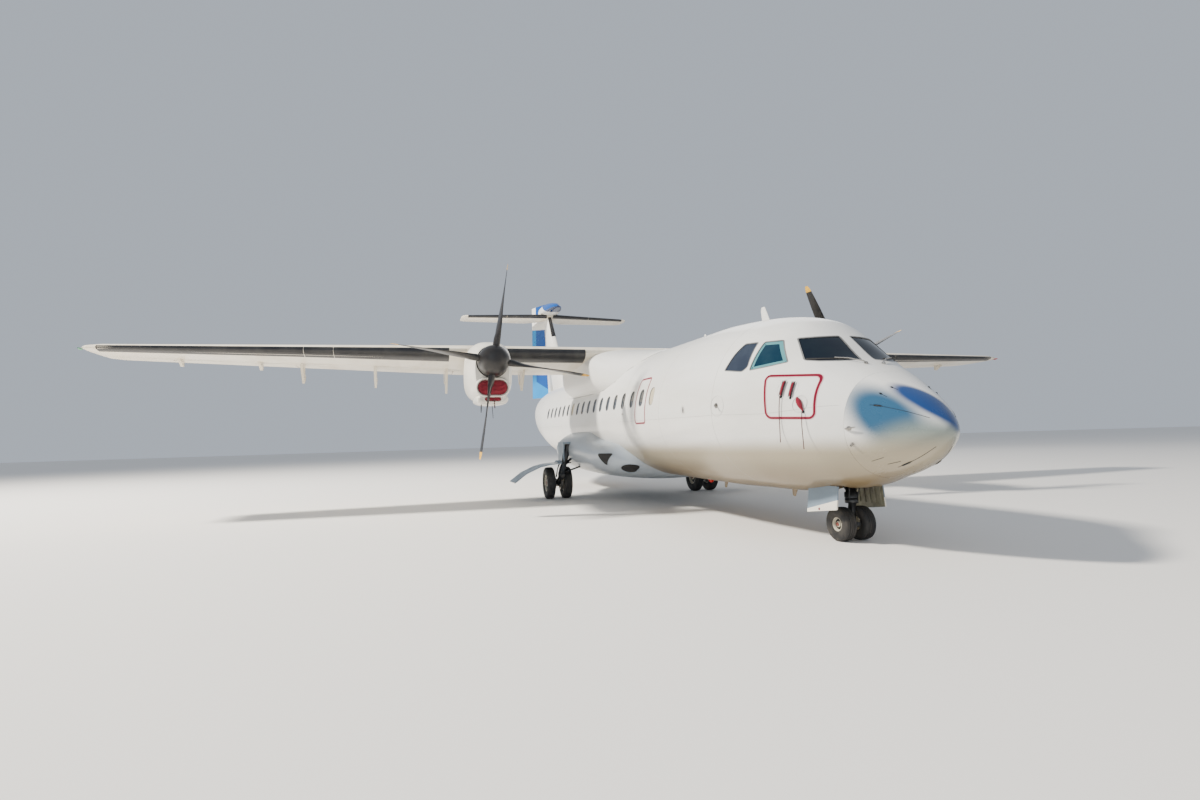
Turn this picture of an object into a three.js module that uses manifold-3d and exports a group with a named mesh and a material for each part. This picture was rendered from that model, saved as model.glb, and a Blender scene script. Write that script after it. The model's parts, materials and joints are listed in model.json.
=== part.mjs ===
// Twin-engined high-wing turboprop airliner, parked on its landing gear.
// Millimetres, +X forward, +Y to port, +Z up, ground at z = 0.
// A station is the distance aft of the nose tip, measured along the airframe.
import * as THREE from 'three';
import { mergeVertices } from 'three/addons/utils/BufferGeometryUtils.js';
import Module from 'manifold-3d';

const wasm = await Module();
wasm.setup();

// Overall sizes
const SPAN = 24570;
const NOSE_X = 11253.5;
const NOSE_DOWN = 0.0186;
const PITCH_STATION = 10500;
const SEAT = 0.3;
const GAP = 8;

// Landing gear
const NOSE_GEAR = 1816;
const MAIN_GEAR = 10600;
const HALF_TRACK = 2050;
const MAIN_WHEEL = { radius: 406.5, width: 220, rim: 208, spread: 440, sides: 24 };
const NOSE_WHEEL = { radius: 225, width: 186, rim: 88, spread: 300, sides: 20 };

// Propellers and nacelles
const ENGINE_Y = 4050;
const THRUST_Z = 3164;
const PROPELLER = { station: 7145, radius: 1980, blades: 4 };
const BLADE_TURN = { left: -0.4284, right: 0.1563 };
const SPINNER = { front: 6800, back: 7400, radius: 315 };

// Tail
const TAIL_Z = 6700;
const TAIL_SPAN = 7310;
const ELEVATOR_HINGE = 21940;
const RUDDER_REST = 0.42;
const RUDDER = { inner: 3200, outer: 7343, turns: [20750, 21640], endGap: 45, brackets: [4200, 5900] };

// Finishes
const finish = (color, roughness, metalness) => (
  new THREE.MeshStandardMaterial({ color, roughness, metalness }));
const PAINT = finish(0xe9e7e2, 0.35, 0.0);
const BLUE = finish(0x0a6fc2, 0.35, 0.0);
const BOOT = finish(0x17181a, 0.55, 0.0);
const GLASS = finish(0x24333a, 0.08, 0.0);
const RUBBER = finish(0x1b1b1c, 0.85, 0.0);
const WHEEL = finish(0xd8d5cb, 0.4, 0.3);
const STEEL = finish(0x2c2d2f, 0.45, 0.7);
const ENGINE = finish(0x6d6f72, 0.5, 0.8);
const COVER = finish(0xb5121f, 0.8, 0.0);

// Joining and cutting. The faces of a solid always end up pointing out.
function solid(geometry) {
  const bare = new THREE.BufferGeometry();
  bare.setAttribute('position', geometry.getAttribute('position').clone());
  if (geometry.index) bare.setIndex(geometry.index.clone());
  const merged = mergeVertices(bare, 1e-3);
  const index = merged.index.array;
  const position = merged.getAttribute('position');
  const corner = (i) => new THREE.Vector3().fromBufferAttribute(position, i);
  const faces = [];
  let volume = 0;
  for (let i = 0; i < index.length; i += 3) {
    const [a, b, c] = [index[i], index[i + 1], index[i + 2]];
    if (a === b || b === c || c === a) continue;
    faces.push(a, b, c);
    volume += corner(a).dot(corner(b).cross(corner(c)));
  }
  if (volume < 0) faces.reverse();
  return new wasm.Manifold(new wasm.Mesh({
    numProp: 3,
    vertProperties: new Float32Array(position.array),
    triVerts: new Uint32Array(faces),
  }));
}

function geometryOf(body) {
  const mesh = body.getMesh();
  const geometry = new THREE.BufferGeometry();
  geometry.setAttribute('position', new THREE.BufferAttribute(new Float32Array(mesh.vertProperties), 3));
  geometry.setIndex(new THREE.BufferAttribute(new Uint32Array(mesh.triVerts), 1));
  return geometry;
}

function mirrored(body) {
  const geometry = geometryOf(body);
  return solid(geometry.scale(1, -1, 1));
}

// A closed skin over a row of rings with equal point counts
function loft(rings) {
  const count = rings[0].length;
  const points = rings.flat();
  const faces = [];
  for (let r = 0; r < rings.length - 1; r++) {
    for (let i = 0; i < count; i++) {
      const a = r * count + i;
      const b = r * count + (i + 1) % count;
      faces.push([a, b, b + count], [a, b + count, a + count]);
    }
  }
  const last = (rings.length - 1) * count;
  for (let low = 0, high = count - 1; low + 1 < high; low++, high--) {
    faces.push([high, low + 1, low], [last + low, last + low + 1, last + high]);
    if (low + 1 < high - 1) {
      faces.push([high, high - 1, low + 1], [last + low + 1, last + high - 1, last + high]);
    }
  }
  const geometry = new THREE.BufferGeometry();
  const flat = points.flatMap((p) => [p.x, p.y, p.z]);
  geometry.setAttribute('position', new THREE.Float32BufferAttribute(flat, 3));
  geometry.setIndex(faces.flat());
  return solid(geometry);
}

const at = (station, y, z) => new THREE.Vector3(-station, y, z);

function box(from, to) {
  const size = to.clone().sub(from);
  const geometry = new THREE.BoxGeometry(Math.abs(size.x), Math.abs(size.y), Math.abs(size.z));
  const middle = from.clone().add(to).multiplyScalar(0.5);
  return solid(geometry.translate(middle.x, middle.y, middle.z));
}

function rod(from, to, radius, sides = 16) {
  const run = to.clone().sub(from);
  const geometry = new THREE.CylinderGeometry(radius, radius, run.length(), sides);
  const middle = from.clone().add(to).multiplyScalar(0.5);
  const turn = new THREE.Quaternion().setFromUnitVectors(new THREE.Vector3(0, 1, 0), run.normalize());
  geometry.applyQuaternion(turn);
  return solid(geometry.translate(middle.x, middle.y, middle.z));
}

// A block along three directions, each with a from and a to
function slab(point, [u, v, w], [u0, u1], [v0, v1], [w0, w1]) {
  const corner = (a, b, c) => point.clone().addScaledVector(u, a).addScaledVector(v, b).addScaledVector(w, c);
  const section = [[v0, w0], [v1, w0], [v1, w1], [v0, w1]];
  return loft([u0, u1].map((a) => section.map(([b, c]) => corner(a, b, c))));
}

// A turned piece about the Y axis: the profile lists [radius, y]
function turnedAboutY(profile, sides, start = 0) {
  const points = profile.map(([radius, y]) => new THREE.Vector2(radius, y));
  return new THREE.LatheGeometry(points, sides, start, Math.PI * 2);
}

// An outline of [a, b] pairs, pushed out along the third direction
function plate(outline, depth) {
  const shape = new THREE.Shape(outline.map(([a, b]) => new THREE.Vector2(a, b)));
  return new THREE.ExtrudeGeometry(shape, { depth, bevelEnabled: false });
}

// An outline in plan, as [station, y], standing from one height to another
function upright(outline, low, high) {
  const geometry = plate(outline.map(([station, y]) => [-station, y]), high - low);
  return solid(geometry.translate(0, 0, low));
}

const aircraft = new THREE.Group();
const pitch = new THREE.Group();
const airframe = new THREE.Group();
const ground = new THREE.Group();
aircraft.position.x = NOSE_X;
pitch.position.x = -PITCH_STATION;
pitch.rotation.y = NOSE_DOWN;
airframe.position.x = PITCH_STATION;
pitch.add(airframe);
aircraft.add(pitch, ground);

// A rod along a hinge line, from one distance to another
const hingeRod = (point, axis, from, to, radius, sides = 12) => rod(
  point.clone().addScaledVector(axis, from),
  point.clone().addScaledVector(axis, to),
  radius,
  sides,
);

// A hinge is a point and a direction in the group's own frame, and turn is the angle at rest
function place(group, name, body, material, hinge = null, turn = 0) {
  const geometry = geometryOf(body);
  const mesh = new THREE.Mesh(geometry, material);
  mesh.name = name;
  if (hinge) {
    geometry.translate(-hinge.point.x, -hinge.point.y, -hinge.point.z);
    mesh.position.copy(hinge.point);
    mesh.quaternion.setFromAxisAngle(hinge.axis, turn);
    mesh.userData.hinge = hinge;
  }
  group.add(mesh);
}

const SIDES = [['left', 1], ['right', -1]];
const sided = (body, side) => (side > 0 ? body : mirrored(body));
const sidedPoint = (point, side) => new THREE.Vector3(point.x, side * point.y, point.z);

// Fuselage sections: station, top, bottom, half width, height of the widest line, and the corner power
// of the part above that line, 2 for an ellipse
const FUSELAGE = [
  [30, 1618, 1596, 10, 1607, 2.0],
  [75, 1690, 1540, 88, 1615, 2.0],
  [200, 1800, 1440, 205, 1608, 2.0],
  [400, 1998, 1268, 376, 1606, 2.1],
  [700, 2195, 1119, 575, 1624, 2.2],
  [1000, 2360, 1020, 744, 1666, 2.3],
  [1330, 2521, 913, 900, 1715, 2.4],
  [1780, 2896, 848, 1036, 1770, 2.15],
  [2200, 3193, 785, 1160, 1845, 2.1],
  [2700, 3322, 755, 1308, 1905, 2.1],
  [3400, 3411, 741, 1406, 1945, 2.0],
  [4400, 3465, 718, 1438, 1960, 2.0],
  [14000, 3465, 718, 1438, 1960, 2.0],
  [15500, 3460, 800, 1430, 2015, 2.0],
  [17000, 3440, 1070, 1340, 2150, 2.0],
  [18500, 3380, 1450, 1130, 2370, 2.0],
  [20000, 3230, 1880, 780, 2570, 2.0],
  [21300, 3070, 2280, 400, 2690, 2.0],
  [22300, 2900, 2600, 120, 2750, 2.0],
].map(([station, top, bottom, half, mid, power]) => ({ station, top, bottom, half, mid, power }));
const FUSELAGE_POINTS = 32;
const RINGS_BETWEEN = [1, 1, 1, 1, 1, 1, 1, 1, 1, 1, 1, 1, 2, 2, 2, 2, 1, 1];

// A smooth value between the rows, with no overshoot
function between(rows, key, station) {
  const last = rows.length - 2;
  const i = Math.min(last, Math.max(0, rows.findIndex((row) => row.station > station) - 1));
  const k = station >= rows[last + 1].station ? last : i;
  const slope = (j) => (rows[j + 1][key] - rows[j][key]) / (rows[j + 1].station - rows[j].station);
  const tangent = (j) => {
    if (j === 0) return slope(0);
    if (j === rows.length - 1) return slope(j - 1);
    const [before, after] = [slope(j - 1), slope(j)];
    return before * after <= 0 ? 0 : 2 * before * after / (before + after);
  };
  const step = rows[k + 1].station - rows[k].station;
  const t = (station - rows[k].station) / step;
  const ease = t * t * (3 - 2 * t);
  const lead = t * (1 - t) * (1 - t) * tangent(k) * step;
  const trail = t * t * (1 - t) * tangent(k + 1) * step;
  return rows[k][key] * (1 - ease) + rows[k + 1][key] * ease + lead - trail;
}

function fuselageAt(station) {
  const keys = ['top', 'bottom', 'half', 'mid', 'power'];
  return Object.fromEntries(keys.map((key) => [key, between(FUSELAGE, key, station)]));
}

function fuselageRing(station, inset) {
  const { top, bottom, half, mid, power } = fuselageAt(station);
  const ring = [];
  for (let i = 0; i < FUSELAGE_POINTS; i++) {
    const angle = (i + 0.5) * 2 * Math.PI / FUSELAGE_POINTS;
    const upper = Math.cos(angle) > 0;
    const bend = (v) => Math.sign(v) * Math.abs(v) ** (upper ? 2 / power : 1);
    const rise = upper ? top - mid - inset : mid - bottom - inset;
    ring.push(at(station, (half - inset) * bend(Math.sin(angle)), mid + rise * bend(Math.cos(angle))));
  }
  return ring;
}

const STATIONS = FUSELAGE.slice(0, -1).flatMap((row, i) => {
  const step = (FUSELAGE[i + 1].station - row.station) / RINGS_BETWEEN[i];
  return Array.from({ length: RINGS_BETWEEN[i] }, (_, k) => row.station + k * step);
}).concat(FUSELAGE.at(-1).station);

function fuselageSolid(from, to, inset) {
  const inside = STATIONS.filter((station) => station > from && station < to);
  return loft([from, ...inside, to].map((station) => fuselageRing(station, inset)));
}

// The skin's distance from the middle plane at a station and height
function skinY(station, z) {
  const { top, bottom, half, mid, power } = fuselageAt(station);
  const corner = z > mid ? power : 2;
  const rise = z > mid ? (z - mid) / (top - mid) : (mid - z) / (mid - bottom);
  return half * Math.max(0, 1 - rise ** corner) ** (1 / corner);
}

const RADOME_END = 950;
const TAIL_END = 22300;
const radome = fuselageSolid(FUSELAGE[0].station, RADOME_END - SEAT, 0);
let fuselage = fuselageSolid(RADOME_END, TAIL_END, 0);

// Cabin doors: station of the middle, sill, head, width, the edge that is hinged
const DOOR_DEPTH = 95;
const DOOR_CORNER = 130;
const DOORS = {
  passenger_door: { side: 1, station: 16050, low: 1270, high: 3010, width: 750, hinged: 'low' },
  cargo_door: { side: 1, station: 4250, low: 1100, high: 2630, width: 1275, hinged: 'high' },
  service_door: { side: -1, station: 16700, low: 1560, high: 2780, width: 610, hinged: null },
};
// Hinge lugs of a door, measured from its hinge line
const KNUCKLE = {
  beyond: 20,
  standOff: 18,
  radius: 9,
  pin: 5,
  play: 0.7,
  arm: 15,
  lug: [23, 43],
  spread: 0.28,
  armStrap: { toward: [0, 70], outward: [-6, 6] },
  armRoot: { toward: [28, 70], outward: [-46, 6] },
  lugStrap: { toward: [-60, 0], outward: [-8, 8] },
  lugRoot: { toward: [-60, -26], outward: [-44, 8] },
  overlap: 5,
};
const CORNER_STEPS = 3;
const SIDE_STEPS = 4;

// From the middle of the sill up one side and down the other, as [along the body, height]
function doorOutline({ width, low, high }, grow) {
  const [half, bottom, top, radius] = [width / 2 + grow, low - grow, high + grow, DOOR_CORNER + grow];
  const side = [];
  for (let i = 0; i <= CORNER_STEPS; i++) {
    const angle = Math.PI / 2 * i / CORNER_STEPS;
    side.push([half - radius + radius * Math.sin(angle), bottom + radius - radius * Math.cos(angle)]);
  }
  for (let i = 1; i < SIDE_STEPS; i++) {
    side.push([half, bottom + radius + (top - bottom - 2 * radius) * i / SIDE_STEPS]);
  }
  for (let i = 0; i <= CORNER_STEPS; i++) {
    const angle = Math.PI / 2 * i / CORNER_STEPS;
    side.push([half - radius + radius * Math.cos(angle), top - radius + radius * Math.sin(angle)]);
  }
  return [...side, ...side.map(([a, z]) => [-a, z]).reverse()];
}

// The skin point that lies straight out from a point of the door's outline, and the way out of the skin there
function skinPoint(door, toe, [a, z]) {
  const point = at(door.station - a * Math.cos(toe), a * Math.sin(toe), z);
  for (let pass = 0; pass < 5; pass++) {
    const out = skinY(-point.x, z) - point.y;
    point.x -= out * Math.sin(toe);
    point.y += out * Math.cos(toe);
  }
  return point;
}

function skinNormal(point) {
  const taper = (skinY(-point.x + 1, point.z) - skinY(-point.x - 1, point.z)) / 2;
  const lean = (skinY(-point.x, point.z + 1) - skinY(-point.x, point.z - 1)) / 2;
  return new THREE.Vector3(taper, 1, -lean).normalize();
}

// The edges of a door leave the skin square to it and square to the hinge line
const DOOR_REACH = [-170, 80];
function doorPrism(door, toe, grow) {
  const along = new THREE.Vector3(Math.cos(toe), Math.sin(toe), 0);
  const rings = DOOR_REACH.map((out) => doorOutline(door, grow).map((corner) => {
    const point = skinPoint(door, toe, corner);
    const normal = skinNormal(point);
    const way = normal.addScaledVector(along, -normal.dot(along)).normalize();
    return point.addScaledVector(way, out);
  }));
  return loft(rings);
}

// The hinge line of a door, with the directions across it toward the leaf and out of the skin
function doorHinge(door, toe) {
  const up = door.hinged === 'low' ? 1 : -1;
  const axis = new THREE.Vector3(Math.cos(toe), Math.sin(toe), 0);
  const point = skinPoint(door, toe, [0, up > 0 ? door.low : door.high]);
  const normal = skinNormal(point);
  const outward = normal.addScaledVector(axis, -normal.dot(axis)).normalize();
  const toward = new THREE.Vector3().crossVectors(outward, axis).normalize();
  if (toward.z * up < 0) toward.negate();
  point.addScaledVector(toward, -KNUCKLE.beyond).addScaledVector(outward, KNUCKLE.standOff);
  return { point, axis, outward, toward };
}

// The arms and pins of the leaf, and the lugs of the frame with their bores
function doorKnuckles(door, { point, axis, toward, outward }) {
  const { arm, lug, radius, pin, play, armStrap, armRoot, lugStrap, lugRoot, overlap } = KNUCKLE;
  const [near, far] = lug;
  const leaf = [];
  const frame = [];
  for (const way of [-1, 1]) {
    const centre = point.clone().addScaledVector(axis, way * KNUCKLE.spread * door.width);
    const out = axis.clone().multiplyScalar(way);
    const ways = [out, toward, outward];
    const block = (span, { toward: across, outward: deep }) => slab(centre, ways, span, across, deep);
    leaf.push(
      hingeRod(centre, out, -arm, arm, radius, 8),
      hingeRod(centre, out, arm - overlap, far, pin),
      block([-arm, arm], armStrap),
      block([-arm, arm], armRoot),
    );
    const body = hingeRod(centre, out, near, far, radius, 8)
      .add(block([near, far], lugStrap))
      .add(block([near, far], lugRoot));
    frame.push(body.subtract(hingeRod(centre, out, near - overlap, far + overlap, pin + play)));
  }
  return { leaf, frame };
}

const shell = fuselageSolid(RADOME_END, TAIL_END, 0);
const behindDoors = fuselageSolid(RADOME_END, TAIL_END, DOOR_DEPTH);
for (const [name, door] of Object.entries(DOORS)) {
  const level = { low: door.low, high: door.high }[door.hinged] ?? fuselageAt(door.station).mid;
  const reach = door.width / 2;
  const [ahead, behind] = [-reach, reach].map((offset) => skinY(door.station + offset, level));
  const toe = Math.atan2(ahead - behind, door.width);
  const pocketDepth = DOOR_DEPTH + (door.hinged ? GAP : SEAT);
  const pocket = doorPrism(door, toe, GAP).subtract(fuselageSolid(RADOME_END, TAIL_END, pocketDepth));
  let leaf = shell.intersect(doorPrism(door, toe, 0)).subtract(behindDoors);
  let hinge = null;
  fuselage = fuselage.subtract(sided(pocket, door.side));
  if (door.hinged) {
    hinge = doorHinge(door, toe);
    const knuckles = doorKnuckles(door, hinge);
    leaf = knuckles.leaf.reduce((body, piece) => body.add(piece), leaf);
    fuselage = knuckles.frame.reduce((body, piece) => body.add(sided(piece, door.side)), fuselage);
  }
  place(airframe, name, sided(leaf, door.side), PAINT, hinge);
}

// Cockpit glass: outlines as [station, height] seen from the side
const GLASS_DEPTH = 30;
const GLASS_PLAY = 3;
const SIDE_PANES = {
  side_window: [[2386, 2897], [2108, 2884], [1850, 2543], [2079, 2510], [2398, 2481]],
  aft_side_window: [[2727, 2916], [2475, 2905], [2433, 2541], [2507, 2476], [2896, 2528], [2813, 2772]],
};
// Windscreen outlines as [y, height] seen from ahead, for the port side
const WINDSCREEN = [[90, 2522], [72, 2904], [598, 2893], [720, 2545], [592, 2516], [395, 2508]];

function grown(outline, by) {
  const count = outline.length;
  const middle = outline.reduce(([a, b], [p, q]) => [a + p / count, b + q / count], [0, 0]);
  return outline.map(([a, b]) => {
    const away = new THREE.Vector2(a - middle[0], b - middle[1]);
    away.setLength(away.length() + by);
    return [middle[0] + away.x, middle[1] + away.y];
  });
}

const SIDE_PANE_REACH = [300, 2000];
function sidePrism(outline) {
  const [inner, outer] = SIDE_PANE_REACH;
  const geometry = plate(outline.map(([station, z]) => [-station, z]), outer - inner);
  geometry.rotateX(Math.PI / 2);
  return solid(geometry.translate(0, outer, 0));
}

const WINDSCREEN_REACH = [1000, 2500];
function windscreenPrism(outline, by) {
  const [fore, aft] = WINDSCREEN_REACH;
  return loft([fore - by, aft + by].map((station) => outline.map(([y, z]) => at(station, y, z))));
}

const COCKPIT_END = 5000;
const behindGlass = fuselageSolid(RADOME_END, COCKPIT_END, GLASS_DEPTH);
const behindSeat = fuselageSolid(RADOME_END, COCKPIT_END, GLASS_DEPTH + SEAT);
const PANES = {
  windscreen: (by) => windscreenPrism(grown(WINDSCREEN, by), by),
  side_window: (by) => sidePrism(grown(SIDE_PANES.side_window, by)),
  aft_side_window: (by) => sidePrism(grown(SIDE_PANES.aft_side_window, by)),
};
for (const [pane, prism] of Object.entries(PANES)) {
  const glass = shell.intersect(prism(0)).subtract(behindGlass);
  const seat = prism(GLASS_PLAY).subtract(behindSeat);
  for (const [name, side] of SIDES) {
    fuselage = fuselage.subtract(sided(seat, side));
    place(airframe, `${pane}_${name}`, sided(glass, side), GLASS);
  }
}

// Nose gear bay and its doors
const NOSE_BAY = { fore: 1590, aft: 2290, half: 306, roof: 1250 };
const bayBox = box(at(NOSE_BAY.fore, -NOSE_BAY.half, 0), at(NOSE_BAY.aft, NOSE_BAY.half, NOSE_BAY.roof));
fuselage = fuselage.subtract(bayBox);
const NOSE_DOOR = { thick: 20, top: 905, foreLow: 608, aftLow: 515 };
for (const [name, side] of SIDES) {
  const outline = [
    [-NOSE_BAY.fore - GAP, NOSE_DOOR.top],
    [-NOSE_BAY.aft + GAP, NOSE_DOOR.top],
    [-NOSE_BAY.aft + GAP, NOSE_DOOR.aftLow],
    [-NOSE_BAY.fore - GAP, NOSE_DOOR.foreLow],
  ];
  const geometry = plate(outline, NOSE_DOOR.thick);
  geometry.rotateX(Math.PI / 2);
  const leaf = solid(geometry.translate(0, NOSE_BAY.half - SEAT, 0));
  place(airframe, `nose_gear_door_${name}`, sided(leaf, side), PAINT);
}

// An aerofoil section has its leading edge at lead and z, and its trailing edge falls by fall.
// Wings run along Y and stand across Z; the fin runs along Z and stands across Y.
const WING_FRAME = (station, along, across) => at(station, along, across);
const FIN_FRAME = (station, along, across) => at(station, across, along);
const FOIL_SIDE = 9;
const CAMBER = 0.022;
const CREST = 0.35;

const halfThickness = (x, thick) => 5 * thick * (0.2969 * Math.sqrt(x) - 0.126 * x - 0.3516 * x ** 2
  + 0.2843 * x ** 3 - 0.0985 * x ** 4);
const camber = (x) => (x < CREST
  ? CAMBER * x / CREST ** 2 * (2 * CREST - x)
  : CAMBER * (1 - 2 * CREST + 2 * CREST * x - x * x) / (1 - CREST) ** 2);

function sectionAt(rows, along) {
  const k = rows.findIndex((row) => row.along > along) - 1;
  const i = k < 0 ? rows.length - 2 : k;
  const t = (along - rows[i].along) / (rows[i + 1].along - rows[i].along);
  const blend = (key) => rows[i][key] * (1 - t) + rows[i + 1][key] * t;
  return Object.fromEntries(Object.keys(rows[i]).map((key) => [key, blend(key)]));
}

function foilPoint(foil, x, upper) {
  const middle = foil.z - foil.fall * x + camber(x) * foil.chord * foil.curved;
  const half = halfThickness(x, foil.thick) * foil.chord;
  return { station: foil.lead + x * foil.chord, across: middle + (upper ? half : -half) };
}

// A ring from the trailing edge over the top to the nose and back below, behind a share of the chord
function foilRing(foil, along, frame, from = 0) {
  const top = [];
  const below = [];
  for (let i = 0; i <= FOIL_SIDE; i++) {
    const x = from + (1 - from) * (1 - Math.cos(Math.PI / 2 * i / FOIL_SIDE));
    const [high, low] = [foilPoint(foil, x, true), foilPoint(foil, x, false)];
    top.push(frame(high.station, along, high.across));
    if (i > 0 || from > 0) below.push(frame(low.station, along, low.across));
  }
  return [...top.reverse(), ...below];
}

// The same section with all its faces moved out by a small amount
const grownFoil = (foil, by) => ({ ...foil, lead: foil.lead - by, chord: foil.chord + 2 * by,
  thick: foil.thick + 2.4 * by / foil.chord });

// A control surface turns about a centre inside the section, and its round nose meets both skins
const SET_BACK = 1.0;
const NOSE_STEPS = 6;
const NOSE_REACH = Math.atan2(1, SET_BACK);
function noseCircle(foil, share) {
  const [high, low] = [foilPoint(foil, share, true), foilPoint(foil, share, false)];
  const half = (high.across - low.across) / 2;
  return { station: high.station + half * SET_BACK, across: (high.across + low.across) / 2,
    radius: half * Math.hypot(1, SET_BACK) };
}

function roundNosedRing(foil, along, share, frame) {
  const rear = foilRing(foil, along, frame, share);
  const { station, across, radius } = noseCircle(foil, share);
  const arc = [];
  for (let i = 1; i < NOSE_STEPS; i++) {
    const angle = NOSE_REACH * (1 - 2 * i / NOSE_STEPS);
    arc.push(frame(station - radius * Math.cos(angle), along, across + radius * Math.sin(angle)));
  }
  return [...rear.slice(0, FOIL_SIDE + 1), ...arc, ...rear.slice(FOIL_SIDE + 1)];
}

// The hollow that a round nose turns in, with everything behind it
const COVE_DEEP = 3000;
const COVE_HIGH = 900;
const COVE_STEPS = 12;
function coveRing(foil, along, share, frame) {
  const { station, across, radius } = noseCircle(foil, share);
  const reach = NOSE_REACH + 0.3;
  const ring = [COVE_DEEP, 0].map((deep) => frame(station + deep, along, across + COVE_HIGH));
  for (let i = 0; i <= COVE_STEPS; i++) {
    const angle = reach * (1 - 2 * i / COVE_STEPS);
    const far = radius + GAP;
    ring.push(frame(station - far * Math.cos(angle), along, across + far * Math.sin(angle)));
  }
  ring.push(...[0, COVE_DEEP].map((deep) => frame(station + deep, along, across - COVE_HIGH)));
  return ring;
}

// The cut ahead of a flap's flat front
function flatCutRing(foil, along, share, frame) {
  const station = foil.lead + share * foil.chord - GAP;
  const middle = foil.z - foil.fall * share;
  return [[COVE_DEEP, COVE_HIGH], [0, COVE_HIGH], [0, -COVE_HIGH], [COVE_DEEP, -COVE_HIGH]]
    .map(([deep, high]) => frame(station + deep, along, middle + high));
}

// The share of the chord at which a round nose starts, for a turning centre at a given station
function shareAtStation(foil, station) {
  let share = (station - foil.lead) / foil.chord;
  for (let pass = 0; pass < 6; pass++) {
    share = (station - foil.lead - SET_BACK * halfThickness(share, foil.thick) * foil.chord) / foil.chord;
  }
  return share;
}

// A bracket on the fixed side reaches to the hinge line in a slot of the leaf, and a pin runs through it
const BRACKET = { half: 12, slotHalf: 30, end: 16, slotEnd: 34, high: 15, pin: 8, play: 0.7, root: 60 };
function bracketAt(foil, along, share, frame, axis) {
  const { station, across, radius } = noseCircle(foil, share);
  const bar = (half, from, to, high) => loft([along - half, along + half].map((a) => (
    [[from, high], [to, high], [to, -high], [from, -high]].map(([s, h]) => frame(s, a, across + h)))));
  const centre = frame(station, along, across);
  const { half, slotHalf, end, slotEnd, high, pin, play, root } = BRACKET;
  const bore = hingeRod(centre, axis, -slotHalf, slotHalf, pin + play);
  return {
    slot: bar(slotHalf, station - radius - 20, station + slotEnd, radius + 20),
    pin: hingeRod(centre, axis, -slotHalf - 10, slotHalf + 10, pin),
    lug: bar(half, station - radius - GAP - root, station + end, high).subtract(bore),
  };
}

// Cuts a moving surface out of a section table, and gives its leaf, its cut and its hinge line.
// It starts at a share of the chord, or turns about a line between two stations. A flap turns about
// a line below its flat front.
function movable(rows, frame, { inner, outer, share, turns, drop = null, endGap = GAP, brackets = [] }) {
  const flat = drop !== null;
  const ends = [inner, outer];
  const cutEnds = [inner - endGap, outer + endGap];
  const startOf = (along) => {
    const run = (along - inner) / (outer - inner);
    return turns ? shareAtStation(sectionAt(rows, along), turns[0] + run * (turns[1] - turns[0])) : share;
  };
  const centre = (along) => {
    const foil = sectionAt(rows, along);
    const low = flat ? foilPoint(foil, startOf(along), false) : noseCircle(foil, startOf(along));
    return frame(low.station, along, low.across - (drop ?? 0));
  };
  const leafRing = (along) => (flat
    ? foilRing(sectionAt(rows, along), along, frame, startOf(along))
    : roundNosedRing(sectionAt(rows, along), along, startOf(along), frame));
  const shapeOfCut = flat ? flatCutRing : coveRing;
  const cutRing = (along) => shapeOfCut(sectionAt(rows, along), along, startOf(along), frame);
  const [point, far] = ends.map(centre);
  const axis = far.clone().sub(point).normalize();
  const bracket = (along) => bracketAt(sectionAt(rows, along), along, startOf(along), frame, axis);
  const carried = brackets.map(bracket);
  return {
    leaf: carried.reduce((body, { slot, pin }) => body.subtract(slot).add(pin), loft(ends.map(leafRing))),
    cut: loft(cutEnds.map(cutRing)),
    lugs: carried.map(({ lug }) => lug),
    hinge: { point, axis },
  };
}

const mirroredHinge = ({ point, axis }, side) => ({
  point: sidedPoint(point, side),
  axis: new THREE.Vector3(side * axis.x, axis.y, side * axis.z),
});

// Wing sections: y, leading edge station, its height, chord, thickness ratio, fall of the trailing edge
const WING = [
  [0, 9300, 3612, 2570, 0.18, 280],
  [4400, 9300, 3612, 2570, 0.18, 280],
  [11900, 10005, 3717, 1450, 0.13, 105],
  [12180, 10090, 3722, 1300, 0.105, 85],
  [SPAN / 2, 10260, 3730, 1000, 0.05, 58],
].map(([along, lead, z, chord, thick, fall]) => ({ along, lead, z, chord, thick, fall, curved: 1 }));
const WING_JOINT = 4400;

const wingRing = (y, grow = 0) => foilRing(grownFoil(sectionAt(WING, Math.abs(y)), grow), y, WING_FRAME);
let wingCentre = loft([-WING_JOINT, WING_JOINT].map((y) => wingRing(y)));
let wingOuter = loft([WING_JOINT + SEAT, ...WING.slice(2).map((row) => row.along)].map((y) => wingRing(y)));
const wingSeat = loft([-WING_JOINT, WING_JOINT, 6000].map((y) => wingRing(y, SEAT)));

// Flaps and ailerons: inner and outer ends, the share of the chord ahead of the cut, and how far the
// flap's hinge line lies below its lower corner
const FLAP_DROP = 300;
const WING_MOVABLES = [
  { name: 'inner_flap', inner: 1640, outer: 3470, share: 0.67, drop: FLAP_DROP, carriers: [[2890, 500]] },
  { name: 'outer_flap', inner: 4640, outer: 8300, share: 0.67, drop: FLAP_DROP, endGap: 18,
    carriers: [[4810, 580], [6490, 500], [8110, 450]] },
  { name: 'aileron', inner: 8340, outer: 11860, share: 0.7, brackets: [9170, 10830] },
];
// Thin fairings under the wing: the flap carriers above, as y and depth, and these ahead of the ailerons
const AILERON_FAIRINGS = [[9010, 175], [10630, 160]];
const FAIRING = {
  width: 54,
  fore: 0.45,
  aft: 0.65,
  sunk: 40,
  noseRun: 60,
  noseDrop: 0.2,
  heel: 70,
  tailDrop: 0.95,
};
const FAIRING_EYE = { aft: 34, low: 40, high: 34, shoulder: 70 };
const FLAP_LUG = {
  near: 36,
  far: 48,
  pin: 14,
  play: 0.7,
  sunk: 20,
  low: 26,
  fore: 24,
  aft: 30,
  head: [14, 170],
};

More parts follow.
